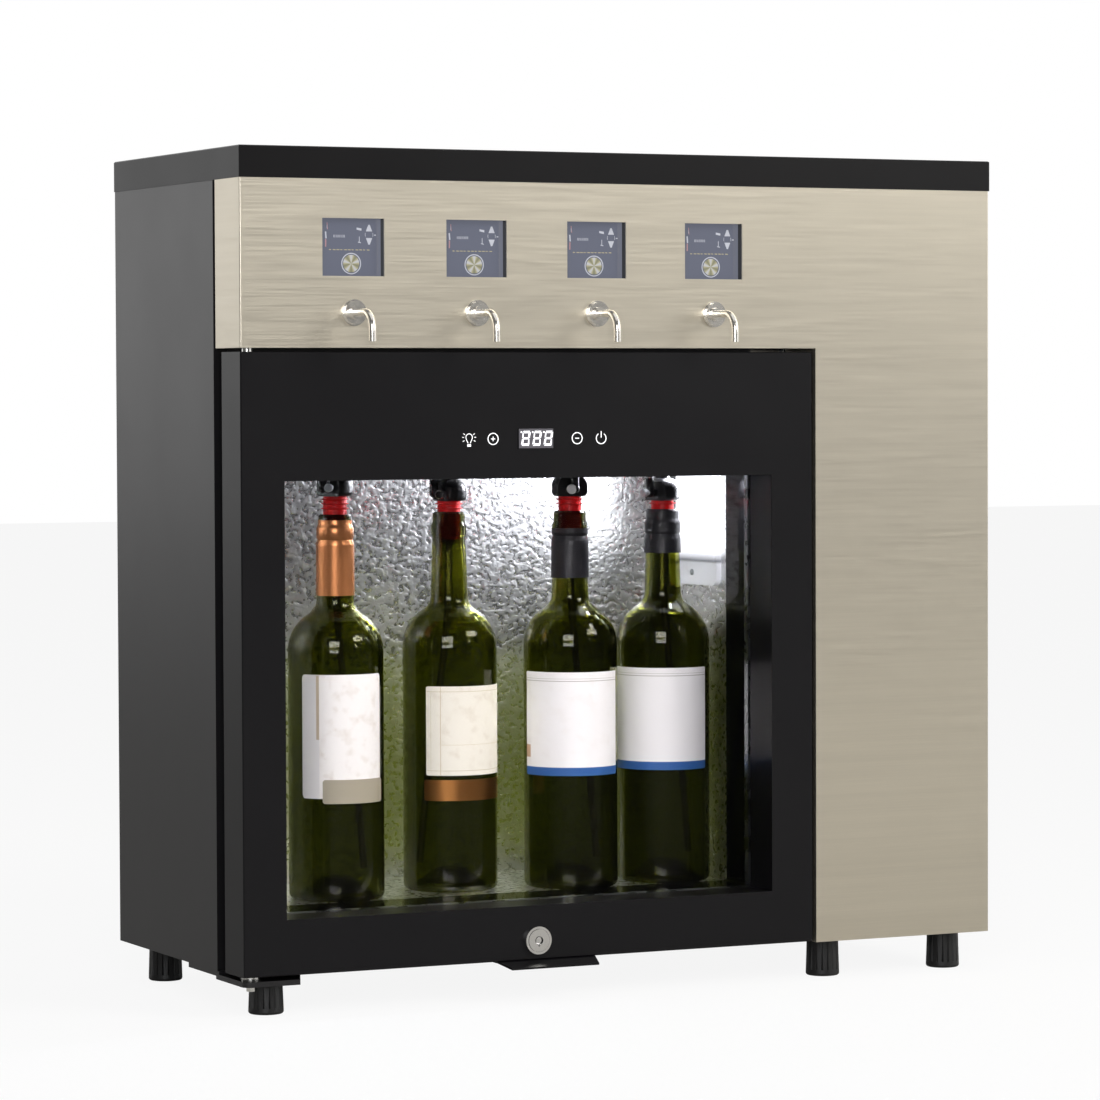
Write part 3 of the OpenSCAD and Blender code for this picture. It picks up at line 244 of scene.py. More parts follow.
def makeWorld(s):
    world = bpy.data.worlds.new("studio")
    scene.world = world
    world.use_nodes = True
    tree = world.node_tree
    tree.nodes.clear()
    seen, path = seenDirectly(tree)
    # gloss shows a dim room in front and a white one from the right round to behind the object
    where = addNode(tree, "ShaderNodeTexCoord")
    split = addNode(tree, "ShaderNodeSeparateXYZ", None, {0: where.outputs["Generated"]})
    behind = addNode(tree, "ShaderNodeMath", {"operation": "MAXIMUM", 1: 0.0}, {0: split.outputs["Y"]})
    across = addNode(tree, "ShaderNodeMath", {"operation": "MULTIPLY_ADD", 1: 2.0}, {0: behind, 2: split.outputs["X"]})
    spread = addNode(tree, "ShaderNodeMapRange", {"From Min": -1.0, "From Max": 1.0}, {"Value": across})
    graded = addNode(tree, "ShaderNodeValToRGB", {"stops": [(at, grey(level)) for at, level in s["gloss"]]},
                     {"Fac": spread})
    # rays that leave the chamber through the door's glass meet a darker room, so the bottles keep their depth
    leaving = path.outputs["Is Transmission Ray"]
    level = addNode(tree, "ShaderNodeMapRange", {"To Min": s["worldLight"], "To Max": s["throughGlass"]},
                    {"Value": leaving})
    light = addNode(tree, "ShaderNodeBackground", {"Color": grey(1.0)}, {"Strength": level})
    gloss = addNode(tree, "ShaderNodeBackground", {"Strength": 1.0}, {"Color": graded})
    back = addNode(tree, "ShaderNodeBackground", {"Color": hexColour(s["backdrop"]), "Strength": 1.0})
    staying = addNode(tree, "ShaderNodeMath", {"operation": "SUBTRACT"},
                      {0: path.outputs["Is Glossy Ray"], 1: leaving})
    bounced = addNode(tree, "ShaderNodeMath", {"operation": "GREATER_THAN", 1: 0.5}, {0: staying})
    shown = addNode(tree, "ShaderNodeMixShader", None, {0: bounced, 1: light, 2: gloss})
    both = addNode(tree, "ShaderNodeMixShader", None, {0: seen, 1: shown, 2: back})
    addNode(tree, "ShaderNodeOutputWorld", None, {"Surface": both})


def makeFloor(s):
    material, tree, shader = newMaterial("pale studio floor", {
        "Base Color": hexColour(s["floor"]), "Roughness": 0.9, "Specular IOR Level": 0.1})
    seen, path = seenDirectly(tree)
    bounce, inside = hexColour(s["floorBounce"]), hexColour(s["floorInside"])
    outside = addNode(tree, "ShaderNodeValToRGB", {"stops": [(0.0, bounce), (1.0, inside)]},
                      {"Fac": path.outputs["Is Transmission Ray"]})
    tone = addNode(tree, "ShaderNodeMix", {"data_type": "RGBA", 7: hexColour(s["floor"])}, {0: seen, 6: outside})
    link(tree, shader, {"Base Color": tone.outputs[2]})
    white = addNode(tree, "ShaderNodeEmission", {"Color": hexColour(s["backdrop"]), "Strength": 1.0})
    share = addNode(tree, "ShaderNodeMath", {"operation": "MULTIPLY", 1: s["floorWhite"]}, {0: seen})
    both = addNode(tree, "ShaderNodeMixShader", None, {0: share, 1: shader, 2: white})
    output = next(n for n in tree.nodes if n.type == "OUTPUT_MATERIAL")
    link(tree, output, {"Surface": both})
    half = s["floorHalf"]
    floor = newPiece("floor", [(-half, -half, 0), (half, -half, 0), (half, half, 0), (-half, half, 0)],
                     [(0, 1, 2, 3)], material)


def makeLamp(s, at, aim):
    data = bpy.data.lights.new(s["name"], "AREA")
    data.energy, data.size, data.color = s["watts"], s["size"], hexColour(s["colour"])[:3]
    if "tall" in s:
        data.shape, data.size_y, data.spread = "RECTANGLE", s["tall"], math.radians(s["spread"])
    lamp = bpy.data.objects.new(s["name"], data)
    scene.collection.objects.link(lamp)
    lamp.location = at
    lamp.rotation_mode = "QUATERNION"
    lamp.rotation_quaternion = (Vector(aim) - Vector(at)).to_track_quat("-Z", "Y")
    return lamp


def makeLamps(s):
    # the bottles keep the room's light off the chamber's walls, which are lit from inside
    shaded = bpy.data.collections.new("shadedWalls")
    shaded.objects.link(nodes["chamber_liner"])
    for lamp in s["roomLamps"]:
        makeLamp(lamp, lamp["at"], s["aim"]).light_linking.receiver_collection = shaded
    for part in shaded.collection_objects:
        part.light_linking.link_state = "EXCLUDE"
    for lamp in s["chamberLamps"]:
        makeLamp(lamp, place(*lamp["at"]), place(*lamp["aim"])).visible_camera = False


makeWorld(studio)
makeFloor(studio)
makeLamps(studio)
print("studio set")


def makePowderCoat(name, colour, roughness, specular=0.5):
    # powder-coated sheet steel: fine orange peel that softens reflections, in an almost even sheen
    material, tree, shader = newMaterial(name, {
        "Base Color": hexColour(colour), "Roughness": roughness, "Specular IOR Level": specular, "IOR": 1.5})
    peel, depth = 0.0006, 0.000012
    fineRelief(tree, shader, (peel,) * 3, depth, {"Detail": 3.0, "Roughness": 0.55})
    unevenSheen(tree, shader, roughness, 0.04, {"Scale": 14.0, "Detail": 2.0})
    return material


def makeBrushed(name, colour, roughness, grainLength, grainWidth, depth, swing):
    # brushed 304 stainless, horizontal grain: streaked highlights and slight tone changes from band to band
    base = hexColour(colour)
    material, tree, shader = newMaterial(name, {
        "Base Color": base, "Metallic": 1.0, "Roughness": roughness, "Anisotropic": 0.55})
    fine = fineRelief(tree, shader, (grainLength, grainLength, grainWidth), depth, {"Detail": 4.0, "Roughness": 0.6})
    bandLength, bandWidth = 1 / 2.2, grainWidth * 9
    coarse = addNode(tree, "ShaderNodeTexNoise", {"Scale": 1.0, "Detail": 3.0, "Roughness": 0.65},
                     {"Vector": objectPoint(tree, (bandLength, bandLength, bandWidth))})
    mixed = addNode(tree, "ShaderNodeMix", {"data_type": "RGBA", "Factor": 0.5}, {6: fine, 7: coarse})
    dark, pale = shade(base, 1 - swing), shade(base, 1 + swing)
    tone = addNode(tree, "ShaderNodeValToRGB", {"stops": [(0.35, dark), (0.65, pale)]}, {"Fac": mixed.outputs[2]})
    smooth, rough = grey(roughness * 0.85), grey(roughness * 1.15)
    sheen = addNode(tree, "ShaderNodeValToRGB", {"stops": [(0.3, smooth), (0.7, rough)]}, {"Fac": fine})
    link(tree, shader, {"Base Color": tone, "Roughness": sheen})
    return material


def makeStucco():
    # stucco-embossed aluminium sheet: a leathery relief about 4 mm wide that breaks up every reflection
    material, tree, shader = newMaterial("stucco-embossed aluminium", {
        "Base Color": hexColour("#dcdddc"), "Metallic": 1.0, "Roughness": 0.3})
    bend, ridge, depth = (0.006,) * 3, (0.0042, 0.0042, 0.0034), 0.0007
    warp = addNode(tree, "ShaderNodeTexNoise", {"Scale": 1.0, "Detail": 1.0}, {"Vector": objectPoint(tree, bend)})
    push = addNode(tree, "ShaderNodeVectorMath", {"operation": "SCALE", "Scale": 1.1}, {0: warp.outputs["Color"]})
    moved = addNode(tree, "ShaderNodeVectorMath", {"operation": "ADD"}, {0: objectPoint(tree, ridge), 1: push})
    relief = addNode(tree, "ShaderNodeTexNoise", {"Scale": 1.0, "Detail": 1.2, "Roughness": 0.45}, {"Vector": moved})
    bump = addNode(tree, "ShaderNodeBump", {"Distance": depth}, {"Height": relief})
    sheen = addNode(tree, "ShaderNodeValToRGB", {"stops": [(0.4, grey(0.26)), (0.6, grey(0.34))]}, {"Fac": relief})
    link(tree, shader, {"Normal": bump, "Roughness": sheen})
    return material


def makeMoulded(name, colour, roughness, grain=0.0009, depth=0.00001, swing=0.15, extra=None):
    # injection-moulded plastic or rubber: a faint spark-eroded texture and slightly uneven sheen
    material, tree, shader = newMaterial(name, {
        "Base Color": hexColour(colour), "Roughness": roughness, "IOR": 1.5, **(extra or {})})
    fineRelief(tree, shader, (grain,) * 3, depth, {"Detail": 2.0})
    unevenSheen(tree, shader, roughness, swing, {"Scale": 30.0, "Detail": 2.0})
    return material


def makeMetal(name, colour, roughness, grain=0.0012, depth=0.000006):
    # plated or machined metal: tool marks and faint smears in the polish
    material, tree, shader = newMaterial(name, {
        "Base Color": hexColour(colour), "Metallic": 1.0, "Roughness": roughness})
    fineRelief(tree, shader, (grain,) * 3, depth, {"Detail": 3.0})
    unevenSheen(tree, shader, roughness, 0.3, {"Scale": 60.0, "Detail": 3.0})
    return material


def makeGlass(name, colour, roughness, ior, wave, depth, mouth=None):
    # clear or bottle glass: slight waviness from blowing or floating
    material, tree, shader = newMaterial(name, {
        "Base Color": hexColour(colour), "Roughness": roughness, "IOR": ior, "Transmission Weight": 1.0})
    fineRelief(tree, shader, (wave,) * 3, depth, {"Detail": 1.0})
    if mouth:
        # the glass is thicker, so darker, round the mouth; heights are in metres
        split = addNode(tree, "ShaderNodeSeparateXYZ", None, {0: objectPoint(tree)})
        rise = addNode(tree, "ShaderNodeMapRange", {"From Min": mouth["low"], "From Max": mouth["high"]},
                       {"Value": split.outputs["Z"]})
        stops = [(0.0, hexColour(colour)), (1.0, hexColour(mouth["colour"]))]
        tone = addNode(tree, "ShaderNodeValToRGB", {"stops": stops}, {"Fac": rise})
        link(tree, shader, {"Base Color": tone})
    return material


def makeFoam():
    # foamed-in polyurethane: pale yellow skin with small open cells
    material, tree, shader = newMaterial("polyurethane foam, foamed in place", {
        "Base Color": hexColour("#e2d29a"), "Roughness": 0.9})
    cell, depth = 0.0016, 0.0003
    cells = addNode(tree, "ShaderNodeTexVoronoi", {"Scale": 1.0}, {"Vector": objectPoint(tree, (cell,) * 3)})
    # painted shade: the colour darkens towards each cell's middle, in the same pits that the bump sinks
    stops = [(0.0, hexColour("#c4b06c")), (0.6, hexColour("#ecdda8"))]
    tone = addNode(tree, "ShaderNodeValToRGB", {"stops": stops}, {"Fac": cells})
    bump = addNode(tree, "ShaderNodeBump", {"Distance": depth}, {"Height": cells})
    link(tree, shader, {"Base Color": tone, "Normal": bump})
    return material


def makeLitCover():
    # opal acrylic over a white LED board: a glowing lens above a clear foot
    opal, board = hexColour("#eef1f5"), hexColour("#70747c")
    footLow, lensLow, lensFull = 0.325, 0.331, 0.345  # heights in metres
    dim, bright = 0.12, 2.6
    material, tree, shader = newMaterial("opal acrylic, lit from behind", {
        "Base Color": opal, "Roughness": 0.18, "IOR": 1.49, "Emission Color": hexColour("#f7faff"),
        "Emission Strength": 1.0})
    split = addNode(tree, "ShaderNodeSeparateXYZ", None, {0: objectPoint(tree)})
    lit = addNode(tree, "ShaderNodeMapRange", {"From Min": lensLow, "From Max": lensFull, "To Min": dim,
                                               "To Max": bright}, {"Value": split.outputs["Z"]})
    # the end of the board shows as a grey band through the clear foot
    foot = addNode(tree, "ShaderNodeMapRange", {"From Min": footLow, "From Max": lensFull},
                   {"Value": split.outputs["Z"]})
    tone = addNode(tree, "ShaderNodeValToRGB", {"stops": [(0.2, opal), (0.3, board), (0.55, board), (0.7, opal)]},
                   {"Fac": foot})
    link(tree, shader, {"Emission Strength": lit, "Base Color": tone})
    fineRelief(tree, shader, (0.004,) * 3, 0.00002, {"Detail": 1.0})
    return material


def makeGlow(name, colour, strength):
    # back-lit print: a flat glow under the clear front
    material, tree, shader = newMaterial(name, {
        "Base Color": hexColour(colour), "Roughness": 0.35, "Emission Color": hexColour(colour),
        "Emission Strength": strength})
    noise = addNode(tree, "ShaderNodeTexNoise", {"Scale": 900.0}, {"Vector": objectPoint(tree)})
    stops = [(0.3, grey(strength * 0.94)), (0.7, grey(strength * 1.05))]
    glow = addNode(tree, "ShaderNodeValToRGB", {"stops": stops}, {"Fac": noise})
    link(tree, shader, {"Emission Strength": glow})
    return material


def makeScreenFace():
    # lit liquid-crystal panel behind glass: grey-blue haze with a faint pixel grid
    material, tree, shader = newMaterial("liquid-crystal panel under glass", {
        "Base Color": hexColour("#3c3f4a"), "Roughness": 0.12, "IOR": 1.5,
        "Emission Color": hexColour("#74777f"), "Emission Strength": 0.62})
    pixel = 0.0007
    grid = addNode(tree, "ShaderNodeTexChecker", {"Scale": 1.0, "Color1": hexColour("#6f7280"),
                                                  "Color2": hexColour("#757886")},
                   {"Vector": objectPoint(tree, (pixel,) * 3)})
    link(tree, shader, {"Emission Color": grid})
    return material


blackSheet = makePowderCoat("black powder-coated steel", "#121113", 0.34)
blackLid = makePowderCoat("black enamelled lid steel", "#0a090b", 0.36, specular=0.2)
doorBlack = makePowderCoat("satin black door enamel", "#0d0c0f", 0.33, specular=0.24)
brushedFascia = makeBrushed("brushed stainless fascia", "#d5cdbc", 0.36, 0.05, 0.0007, 0.000012, 0.04)
tapSteel = makeBrushed("satin stainless tap tube", "#e6e2da", 0.24, 0.004, 0.004, 0.000004, 0.02)
stucco = makeStucco()
glossAbs = makeMoulded("gloss black ABS, moulded", "#060607", 0.07, 0.006, 0.000006)
mattAbs = makeMoulded("black ABS, spark-eroded", "#101012", 0.42)
stopperAbs = makeMoulded("black acetal stopper, moulded", "#131316", 0.3)
footRubber = makeMoulded("black rubber-nylon foot, moulded", "#111112", 0.42)
redSilicone = makeMoulded("red silicone rubber, moulded", "#d00206", 0.45, 0.0008, 0.00001, 0.1, {
    "Specular IOR Level": 0.3, "Subsurface Weight": 0.08, "Subsurface Scale": 0.002})
hoseRubber = makeMoulded("black PVC hose, extruded", "#0e0e10", 0.3)
gasket = makeMoulded("black magnetic gasket, extruded PVC", "#0a0a0b", 0.5)
nylonBush = makeMoulded("natural nylon bush, moulded", "#dcdad0", 0.4)
boardGreen = makeMoulded("green solder mask on glass fibre", "#0f4a2a", 0.3)
boardWhite = makeMoulded("white solder mask on aluminium", "#efeccf", 0.35)
valveGrey = makeMoulded("grey glass-filled nylon, moulded", "#33363b", 0.45)
smoked = makeMoulded("smoked acrylic window", "#0b0b0e", 0.06, 0.006, 0.000003)
lockNickel = makeMetal("nickel-plated zinc, polished", "#d9d8d6", 0.16)
pinZinc = makeMetal("bright zinc-plated steel", "#e3e2dd", 0.2)
zincSheet = makeMetal("zinc-plated sheet steel", "#a9adb0", 0.34, 0.004, 0.00002)
rollBond = makeMetal("roll-bonded aluminium", "#c4c6c7", 0.3, 0.003, 0.00001)
spacerAlu = makeMetal("mill-finish aluminium spacer", "#9c9ea0", 0.3)
manifoldAlu = makeMetal("anodised aluminium block, machined", "#a7aab0", 0.3)
copperPipe = makeMetal("drawn copper pipe", "#c07a4c", 0.24, 0.002, 0.00001)
condenserCopper = makeMetal("condenser fins and copper tube", "#b08a68", 0.38)
inletBrass = makeMetal("turned brass", "#c9a55a", 0.22)
compressorPaint = makePowderCoat("satin black compressor paint", "#17181b", 0.4)
foam = makeFoam()
litCover = makeLitCover()
screenFace = makeScreenFace()
# the coating cuts the pane's reflections to those of a much lower index
paneGlass = makeGlass("float glass pane, anti-reflective coating", "#f8f7f8", 0.0, 1.1, 0.25, 0.00002)
bottleGlass = makeGlass("olive green bottle glass, blown", "#979a38", 0.01, 1.52, 0.03, 0.00006, {
    "colour": "#4c4f1e", "low": 0.338, "high": 0.352})
whitePrint = makeGlow("white back-lit print", "#f4f4f6", 0.9)

finishes = {
    "lid": blackLid, "left_side_panel": blackSheet, "right_side_panel": blackSheet, "back_panel": blackSheet,
    "base_pan": blackSheet, "hinge_brackets": blackSheet, "lock_keeper": blackSheet, "door_pull": doorBlack,
    "front_fascia": brushedFascia, "spouts": tapSteel, "partition_panel": zincSheet, "foam_insulation": foam,
    "chamber_liner": stucco, "breaker_frame": glossAbs, "door_back_frame": glossAbs, "light_cover": litCover,
    "led_strip": boardWhite, "evaporator_plate": rollBond, "compressor": compressorPaint,
    "compressor_mounts": footRubber, "condenser": condenserCopper, "fan_shroud": mattAbs, "fan_rotor": mattAbs,
    "refrigerant_lines": copperPipe, "gas_manifold": manifoldAlu, "wine_valves": valveGrey,
    "header_tubes": hoseRubber, "hose_grommets": footRubber, "control_board": boardGreen,
    "power_supply": zincSheet, "power_inlet": mattAbs, "gas_inlet": inletBrass, "hinge_pins": pinZinc,
    "feet": footRubber, "screen_housings": glossAbs, "touch_screens": screenFace, "door_frame": doorBlack,
    "door_glass": paneGlass, "glazing_spacer": spacerAlu, "door_gasket": gasket, "display_module": smoked,
    "lock_housing": lockNickel, "hinge_bushes": nylonBush, "lock_cylinder": lockNickel,
}
for i in (1, 2, 3, 4):
    finishes[f"bottle_{i}"] = bottleGlass
    finishes[f"hose_{i}"] = hoseRubber
    finishes[f"stopper_head_{i}"] = stopperAbs
    finishes[f"stopper_plug_{i}"] = redSilicone
for name, material in finishes.items():
    dress(name, material)
    smoothMesh(nodes[name])
# light passes the clear and green glass instead of casting a solid shadow
for name in ("door_glass", "bottle_1", "bottle_2", "bottle_3", "bottle_4"):
    nodes[name].visible_shadow = False
print("materials set")

# Where the bottles stand, how far their stoppers stick out and which way the gas elbows point, in mm and degrees
bottles = [
    {"x": 129.1, "y": 127, "out": 14, "turn": 205},
    {"x": 235.9, "y": 146, "out": 8.5, "turn": 188},
    {"x": 331.1, "y": 121, "out": 11.5, "turn": 262},
    {"x": 416.9, "y": 125, "out": 6.8, "turn": 196},
]
chamber = {"ceiling": 448, "mouth": 344, "bottleRadius": 37.7}

# Hoses from each stopper to the ceiling; the holes' places are from the bottle's middle
hoses = {
    "diameter": 6.0, "sides": 20, "rings": 24,
    "lead": 0.28,  # how firmly each end starts upright, as a share of the rise
    "flange": 2.5,  # of the grommet under the ceiling
    "nipple": 28.3, "elbowOut": 14, "elbowTop": 18.8, "wineHole": (-6, 6), "gasHole": (-28, 2),
}


def curvePoints(a, b, c, d, count):
    out = []
    for k in range(count + 1):
        t = k / count
        s = 1 - t
        out.append(s * s * s * a + 3 * s * s * t * b + 3 * s * t * t * c + t * t * t * d)
    return out


def tubeMesh(points, radius, sides):
    # a round tube with closed ends along points
    verts, faces = [], []
    side = None
    for k, p in enumerate(points):
        ahead = (points[min(k + 1, len(points) - 1)] - points[max(k - 1, 0)]).normalized()
        if side is None:
            side = ahead.orthogonal().normalized()
        side = (side - ahead * side.dot(ahead)).normalized()
        other = ahead.cross(side)
        for j in range(sides):
            a = 2 * math.pi * j / sides
            verts.append(p + radius * (math.cos(a) * side + math.sin(a) * other))
    for k in range(len(points) - 1):
        for j in range(sides):
            n = (j + 1) % sides
            faces.append((k * sides + j, k * sides + n, (k + 1) * sides + n, (k + 1) * sides + j))
    faces.append(tuple(reversed(range(sides))))
    faces.append(tuple((len(points) - 1) * sides + j for j in range(sides)))
    return verts, faces


def makeHoses(s):
    top = chamber["ceiling"] - s["flange"]
    for i, b in enumerate(bottles, 1):
        z0 = chamber["mouth"] + b["out"]
        a = math.radians(b["turn"])
        runs = {
            "wine": ((b["x"], b["y"], z0 + s["nipple"]), s["wineHole"]),
            "gas": ((b["x"] + s["elbowOut"] * math.cos(a), b["y"] + s["elbowOut"] * math.sin(a),
                     z0 + s["elbowTop"]), s["gasHole"]),
        }
        for kind, (low, hole) in runs.items():
            start, end = place(*low), place(b["x"] + hole[0], b["y"] + hole[1], top)
            up = Vector((0, 0, s["lead"] * (end.z - start.z)))
            points = curvePoints(start, start + up, end - up, end, s["rings"])
            verts, faces = tubeMesh(points, s["diameter"] / 2 * mm, s["sides"])
            hose = newPiece(f"{kind}_hose_{i}", verts, faces, hoseRubber)
            smoothMesh(hose, 50)
            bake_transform(hose)
            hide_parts(f"hose_{i}")


makeHoses(hoses)
print("hoses made")


def paperMaterial(name, colour, areas, stain):
    # coated label paper: soft sheen, fine fibre, and flat printed areas in mm from the lower left corner
    base = hexColour(colour)
    material, tree, shader = newMaterial(name, {"Base Color": base, "Roughness": 0.55, "Specular IOR Level": 0.35})
    uv = addNode(tree, "ShaderNodeUVMap", {"uv_map": "label"})
    split = addNode(tree, "ShaderNodeSeparateXYZ", None, {0: uv})
    fibre = addNode(tree, "ShaderNodeTexNoise", {"Scale": 1.6, "Detail": 4.0}, {"Vector": uv})
    paper = addNode(tree, "ShaderNodeValToRGB", {"stops": [(0.35, shade(base, 0.94)), (0.6, base)]}, {"Fac": fibre})
    layers = []
    if stain:
        blot = addNode(tree, "ShaderNodeTexNoise", {"Scale": 0.09, "Detail": 3.0}, {"Vector": uv})
        share = addNode(tree, "ShaderNodeMapRange", {"From Min": 0.52, "From Max": 0.7, "To Max": stain},
                        {"Value": blot})
        layers.append((share, "#b39a78"))
    for x0, x1, y0, y1, ink in areas:
        inside = None
        for axis, operation, edge in (("X", "GREATER_THAN", x0), ("X", "LESS_THAN", x1),
                                      ("Y", "GREATER_THAN", y0), ("Y", "LESS_THAN", y1)):
            test = addNode(tree, "ShaderNodeMath", {"operation": operation, 1: edge}, {0: split.outputs[axis]})
            if inside:
                test = addNode(tree, "ShaderNodeMath", {"operation": "MULTIPLY"}, {0: inside, 1: test})
            inside = test
        layers.append((inside, ink))
    tone = paper.outputs[0]
    for share, ink in layers:
        tone = addNode(tree, "ShaderNodeMix", {"data_type": "RGBA", 7: hexColour(ink)}, {0: share, 6: tone}).outputs[2]
    bump = addNode(tree, "ShaderNodeBump", {"Distance": 0.00001}, {"Height": fibre})
    link(tree, shader, {"Base Color": tone, "Normal": bump})
    return material


def foilMaterial(name, s, size, depth):
    # drawn metal or tin-look film: faint wrinkles that break up its highlight
    material, tree, shader = newMaterial(name, {
        "Base Color": hexColour(s["colour"]), "Metallic": s["metallic"], "Roughness": s["roughness"]})
    fineRelief(tree, shader, size, depth, {"Detail": 2.0})
    return material


# Angles run round the bottle from its right side, in degrees; heights, gap to what is under the sheet and radius of
# the corners are in mm. A sheet with areas is printed paper, one without is foil
labels = {
    "label_1": {
        "bottle": 0, "from": 203.3, "to": 311, "low": 123.4, "high": 220, "gap": 0.1, "corner": 2.5,
        "finish": "white coated label paper", "colour": "#faf7f2", "stain": 0.25,
        "areas": [(0, 15.5, 0, 100, "#e6e4e2"), (13.0, 15.5, 46, 96, "#c4b49c"), (69.6, 69.9, 8, 92, "#d9b98a")]},
    "label_band_1": {
        "bottle": 0, "from": 230.8, "to": 313.5, "low": 119.5, "high": 138.2, "gap": 0.28, "corner": 1.5,
        "finish": "grey-beige label band", "colour": "#a79f8b", "stain": 0,
        "areas": [(49.5, 50.0, 0, 30, "#7f7869")]},
    "label_2": {
        "bottle": 1, "from": 215.8, "to": 343, "low": 135.6, "high": 206.4, "gap": 0.1, "corner": 0.8,
        "finish": "cream laid label paper", "colour": "#f3eedf", "stain": 0.2,
        "areas": [(12.0, 12.4, 0, 80, "#c9b287"), (0, 90, 66.4, 66.8, "#cfc3a0"), (0, 90, 3.6, 4.0, "#cfc3a0"),
                  (4, 4.3, 3.6, 66.8, "#d9cfb0"), (12, 90, 24.2, 24.5, "#d8ccab")]},
    "label_band_2": {
        "bottle": 1, "from": 213.0, "to": 343, "low": 115.5, "high": 132.2, "gap": 0.1, "corner": 0.8,
        "finish": "copper foil label band", "colour": "#c98a4c", "metallic": 1.0, "roughness": 0.3},
    "label_3": {
        "bottle": 2, "from": 177, "to": 316.5, "low": 133.4, "high": 216, "gap": 0.1, "corner": 0.6,
        "finish": "bright white label paper, tinted foot", "colour": "#fcfaf8", "stain": 0.08,
        "areas": [(0, 120, 0, 6.6, "#2f5f9e"), (0, 120, 77.2, 77.5, "#b9b4aa"), (0, 120, 75.2, 75.8, "#b9b4aa"),
                  (0, 6.5, 14, 24, "#c9a486")]},
    "label_4": {
        "bottle": 3, "from": 166, "to": 306.5, "low": 134.4, "high": 216.7, "gap": 0.1, "corner": 0.6,
        "finish": "bright white label paper, blue foot", "colour": "#fcfaf8", "stain": 0,
        "areas": [(0, 120, 0, 6.6, "#2f5f9e"), (0, 120, 77.6, 77.9, "#b9b4aa"), (0, 120, 75.6, 76.2, "#b9b4aa")]},
}
sheet = {"thick": 0.12, "step": 1.5, "leastColumns": 24, "rows": 14, "sharp": 40,
         "foilGrain": (1 / 220,) * 3, "foilDepth": 0.00004}


def wrapSheet(name, s, material):
    # a thin closed sheet round the bottle, with round corners
    bottle = bottles[s["bottle"]]
    r = chamber["bottleRadius"] + s["gap"]
    width = math.radians(s["to"] - s["from"]) * r
    columns = max(sheet["leastColumns"], int(width / sheet["step"]))
    rows, corner = sheet["rows"], s["corner"]
    work = bmesh.new()
    uvLayer = work.loops.layers.uv.new("label")
    grid = {}
    for side in (0, 1):
        for i in range(columns + 1):
            u = width * i / columns
            # the height shrinks near the sides to round the corners
            near = min(u, width - u)
            cut = 0
            if near < corner:
                cut = corner - math.sqrt(max(0, corner ** 2 - (corner - near) ** 2))
            for j in range(rows + 1):
                h = s["low"] + cut + (s["high"] - s["low"] - 2 * cut) * j / rows
                angle = math.radians(s["from"]) + u / r
                out = r + sheet["thick"] * side
                corners = place(bottle["x"] + out * math.cos(angle), bottle["y"] + out * math.sin(angle), h)
                grid[side, i, j] = (work.verts.new(corners), (u, h - s["low"]))

    def addFace(keys):
        face = work.faces.new([grid[k][0] for k in keys])
        for loop, k in zip(face.loops, keys):
            loop[uvLayer].uv = grid[k][1]
        face.smooth = True

    for i in range(columns):
        for j in range(rows):
            addFace([(1, i, j), (1, i + 1, j), (1, i + 1, j + 1), (1, i, j + 1)])
            addFace([(0, i, j), (0, i, j + 1), (0, i + 1, j + 1), (0, i + 1, j)])
    for i in range(columns):
        addFace([(0, i, 0), (0, i + 1, 0), (1, i + 1, 0), (1, i, 0)])
        addFace([(0, i + 1, rows), (0, i, rows), (1, i, rows), (1, i + 1, rows)])
    for j in range(rows):
        addFace([(0, 0, j + 1), (0, 0, j), (1, 0, j), (1, 0, j + 1)])
        addFace([(0, columns, j), (0, columns, j + 1), (1, columns, j + 1), (1, columns, j)])
    bmesh.ops.recalc_face_normals(work, faces=work.faces)
    mesh = bpy.data.meshes.new(name)
    work.to_mesh(mesh)
    work.free()
    mesh.set_sharp_from_angle(angle=math.radians(sheet["sharp"]))
    addPiece(name, mesh, material, "cabinet")


for name, s in labels.items():
    if "areas" in s:
        finish = paperMaterial(s["finish"], s["colour"], s["areas"], s["stain"])
    else:
        finish = foilMaterial(s["finish"], s, sheet["foilGrain"], sheet["foilDepth"])
    wrapSheet(name, s, finish)


def lathe(name, profile, centre, material):
    # a turned piece of the cabinet from a ring of (radius, height) pairs in mm round a vertical line
    verts, faces = [], []
    n, segments = len(profile), 64
    for j in range(segments):
        a = 2 * math.pi * j / segments
        for r, z in profile:
            verts.append(place(centre[0] + r * math.cos(a), centre[1] + r * math.sin(a), z))
    for j in range(segments):
        k = (j + 1) % segments
        for m in range(n):
            q = (m + 1) % n
            faces.append((j * n + m, k * n + m, k * n + q, j * n + q))
    obj = newPiece(name, verts, faces, material, "cabinet")
    fixNormals(obj)
    smoothMesh(obj, 40)


# The neck is (radius, height from the mouth) up the bottle's neck and collar, in mm; wrinkles are in metres
capsuleFit = {
    "neck": [(14.9, -74), (14.6, -24), (13.4, -20), (14.2, -18.5), (14.3, -11), (13.4, -9), (13.0, -8), (13.0, -1.5),
             (12.2, 0.2)],
    "gap": 0.08, "wall": 0.35, "steps": 12, "wrinkle": (0.004, 0.004, 0.02), "wrinkleDepth": 0.00008,
}
capsules = {
    "capsule_1": {"bottle": 0, "low": 280.4, "high": 339.5, "colour": "#df935c", "metallic": 0.7, "roughness": 0.24},
    "capsule_3": {"bottle": 2, "low": 290.3, "high": 330.0, "colour": "#16161b", "metallic": 0.0, "roughness": 0.36},
    "capsule_4": {"bottle": 3, "low": 308.5, "high": 344.1, "colour": "#18181d", "metallic": 0.0, "roughness": 0.4},
}


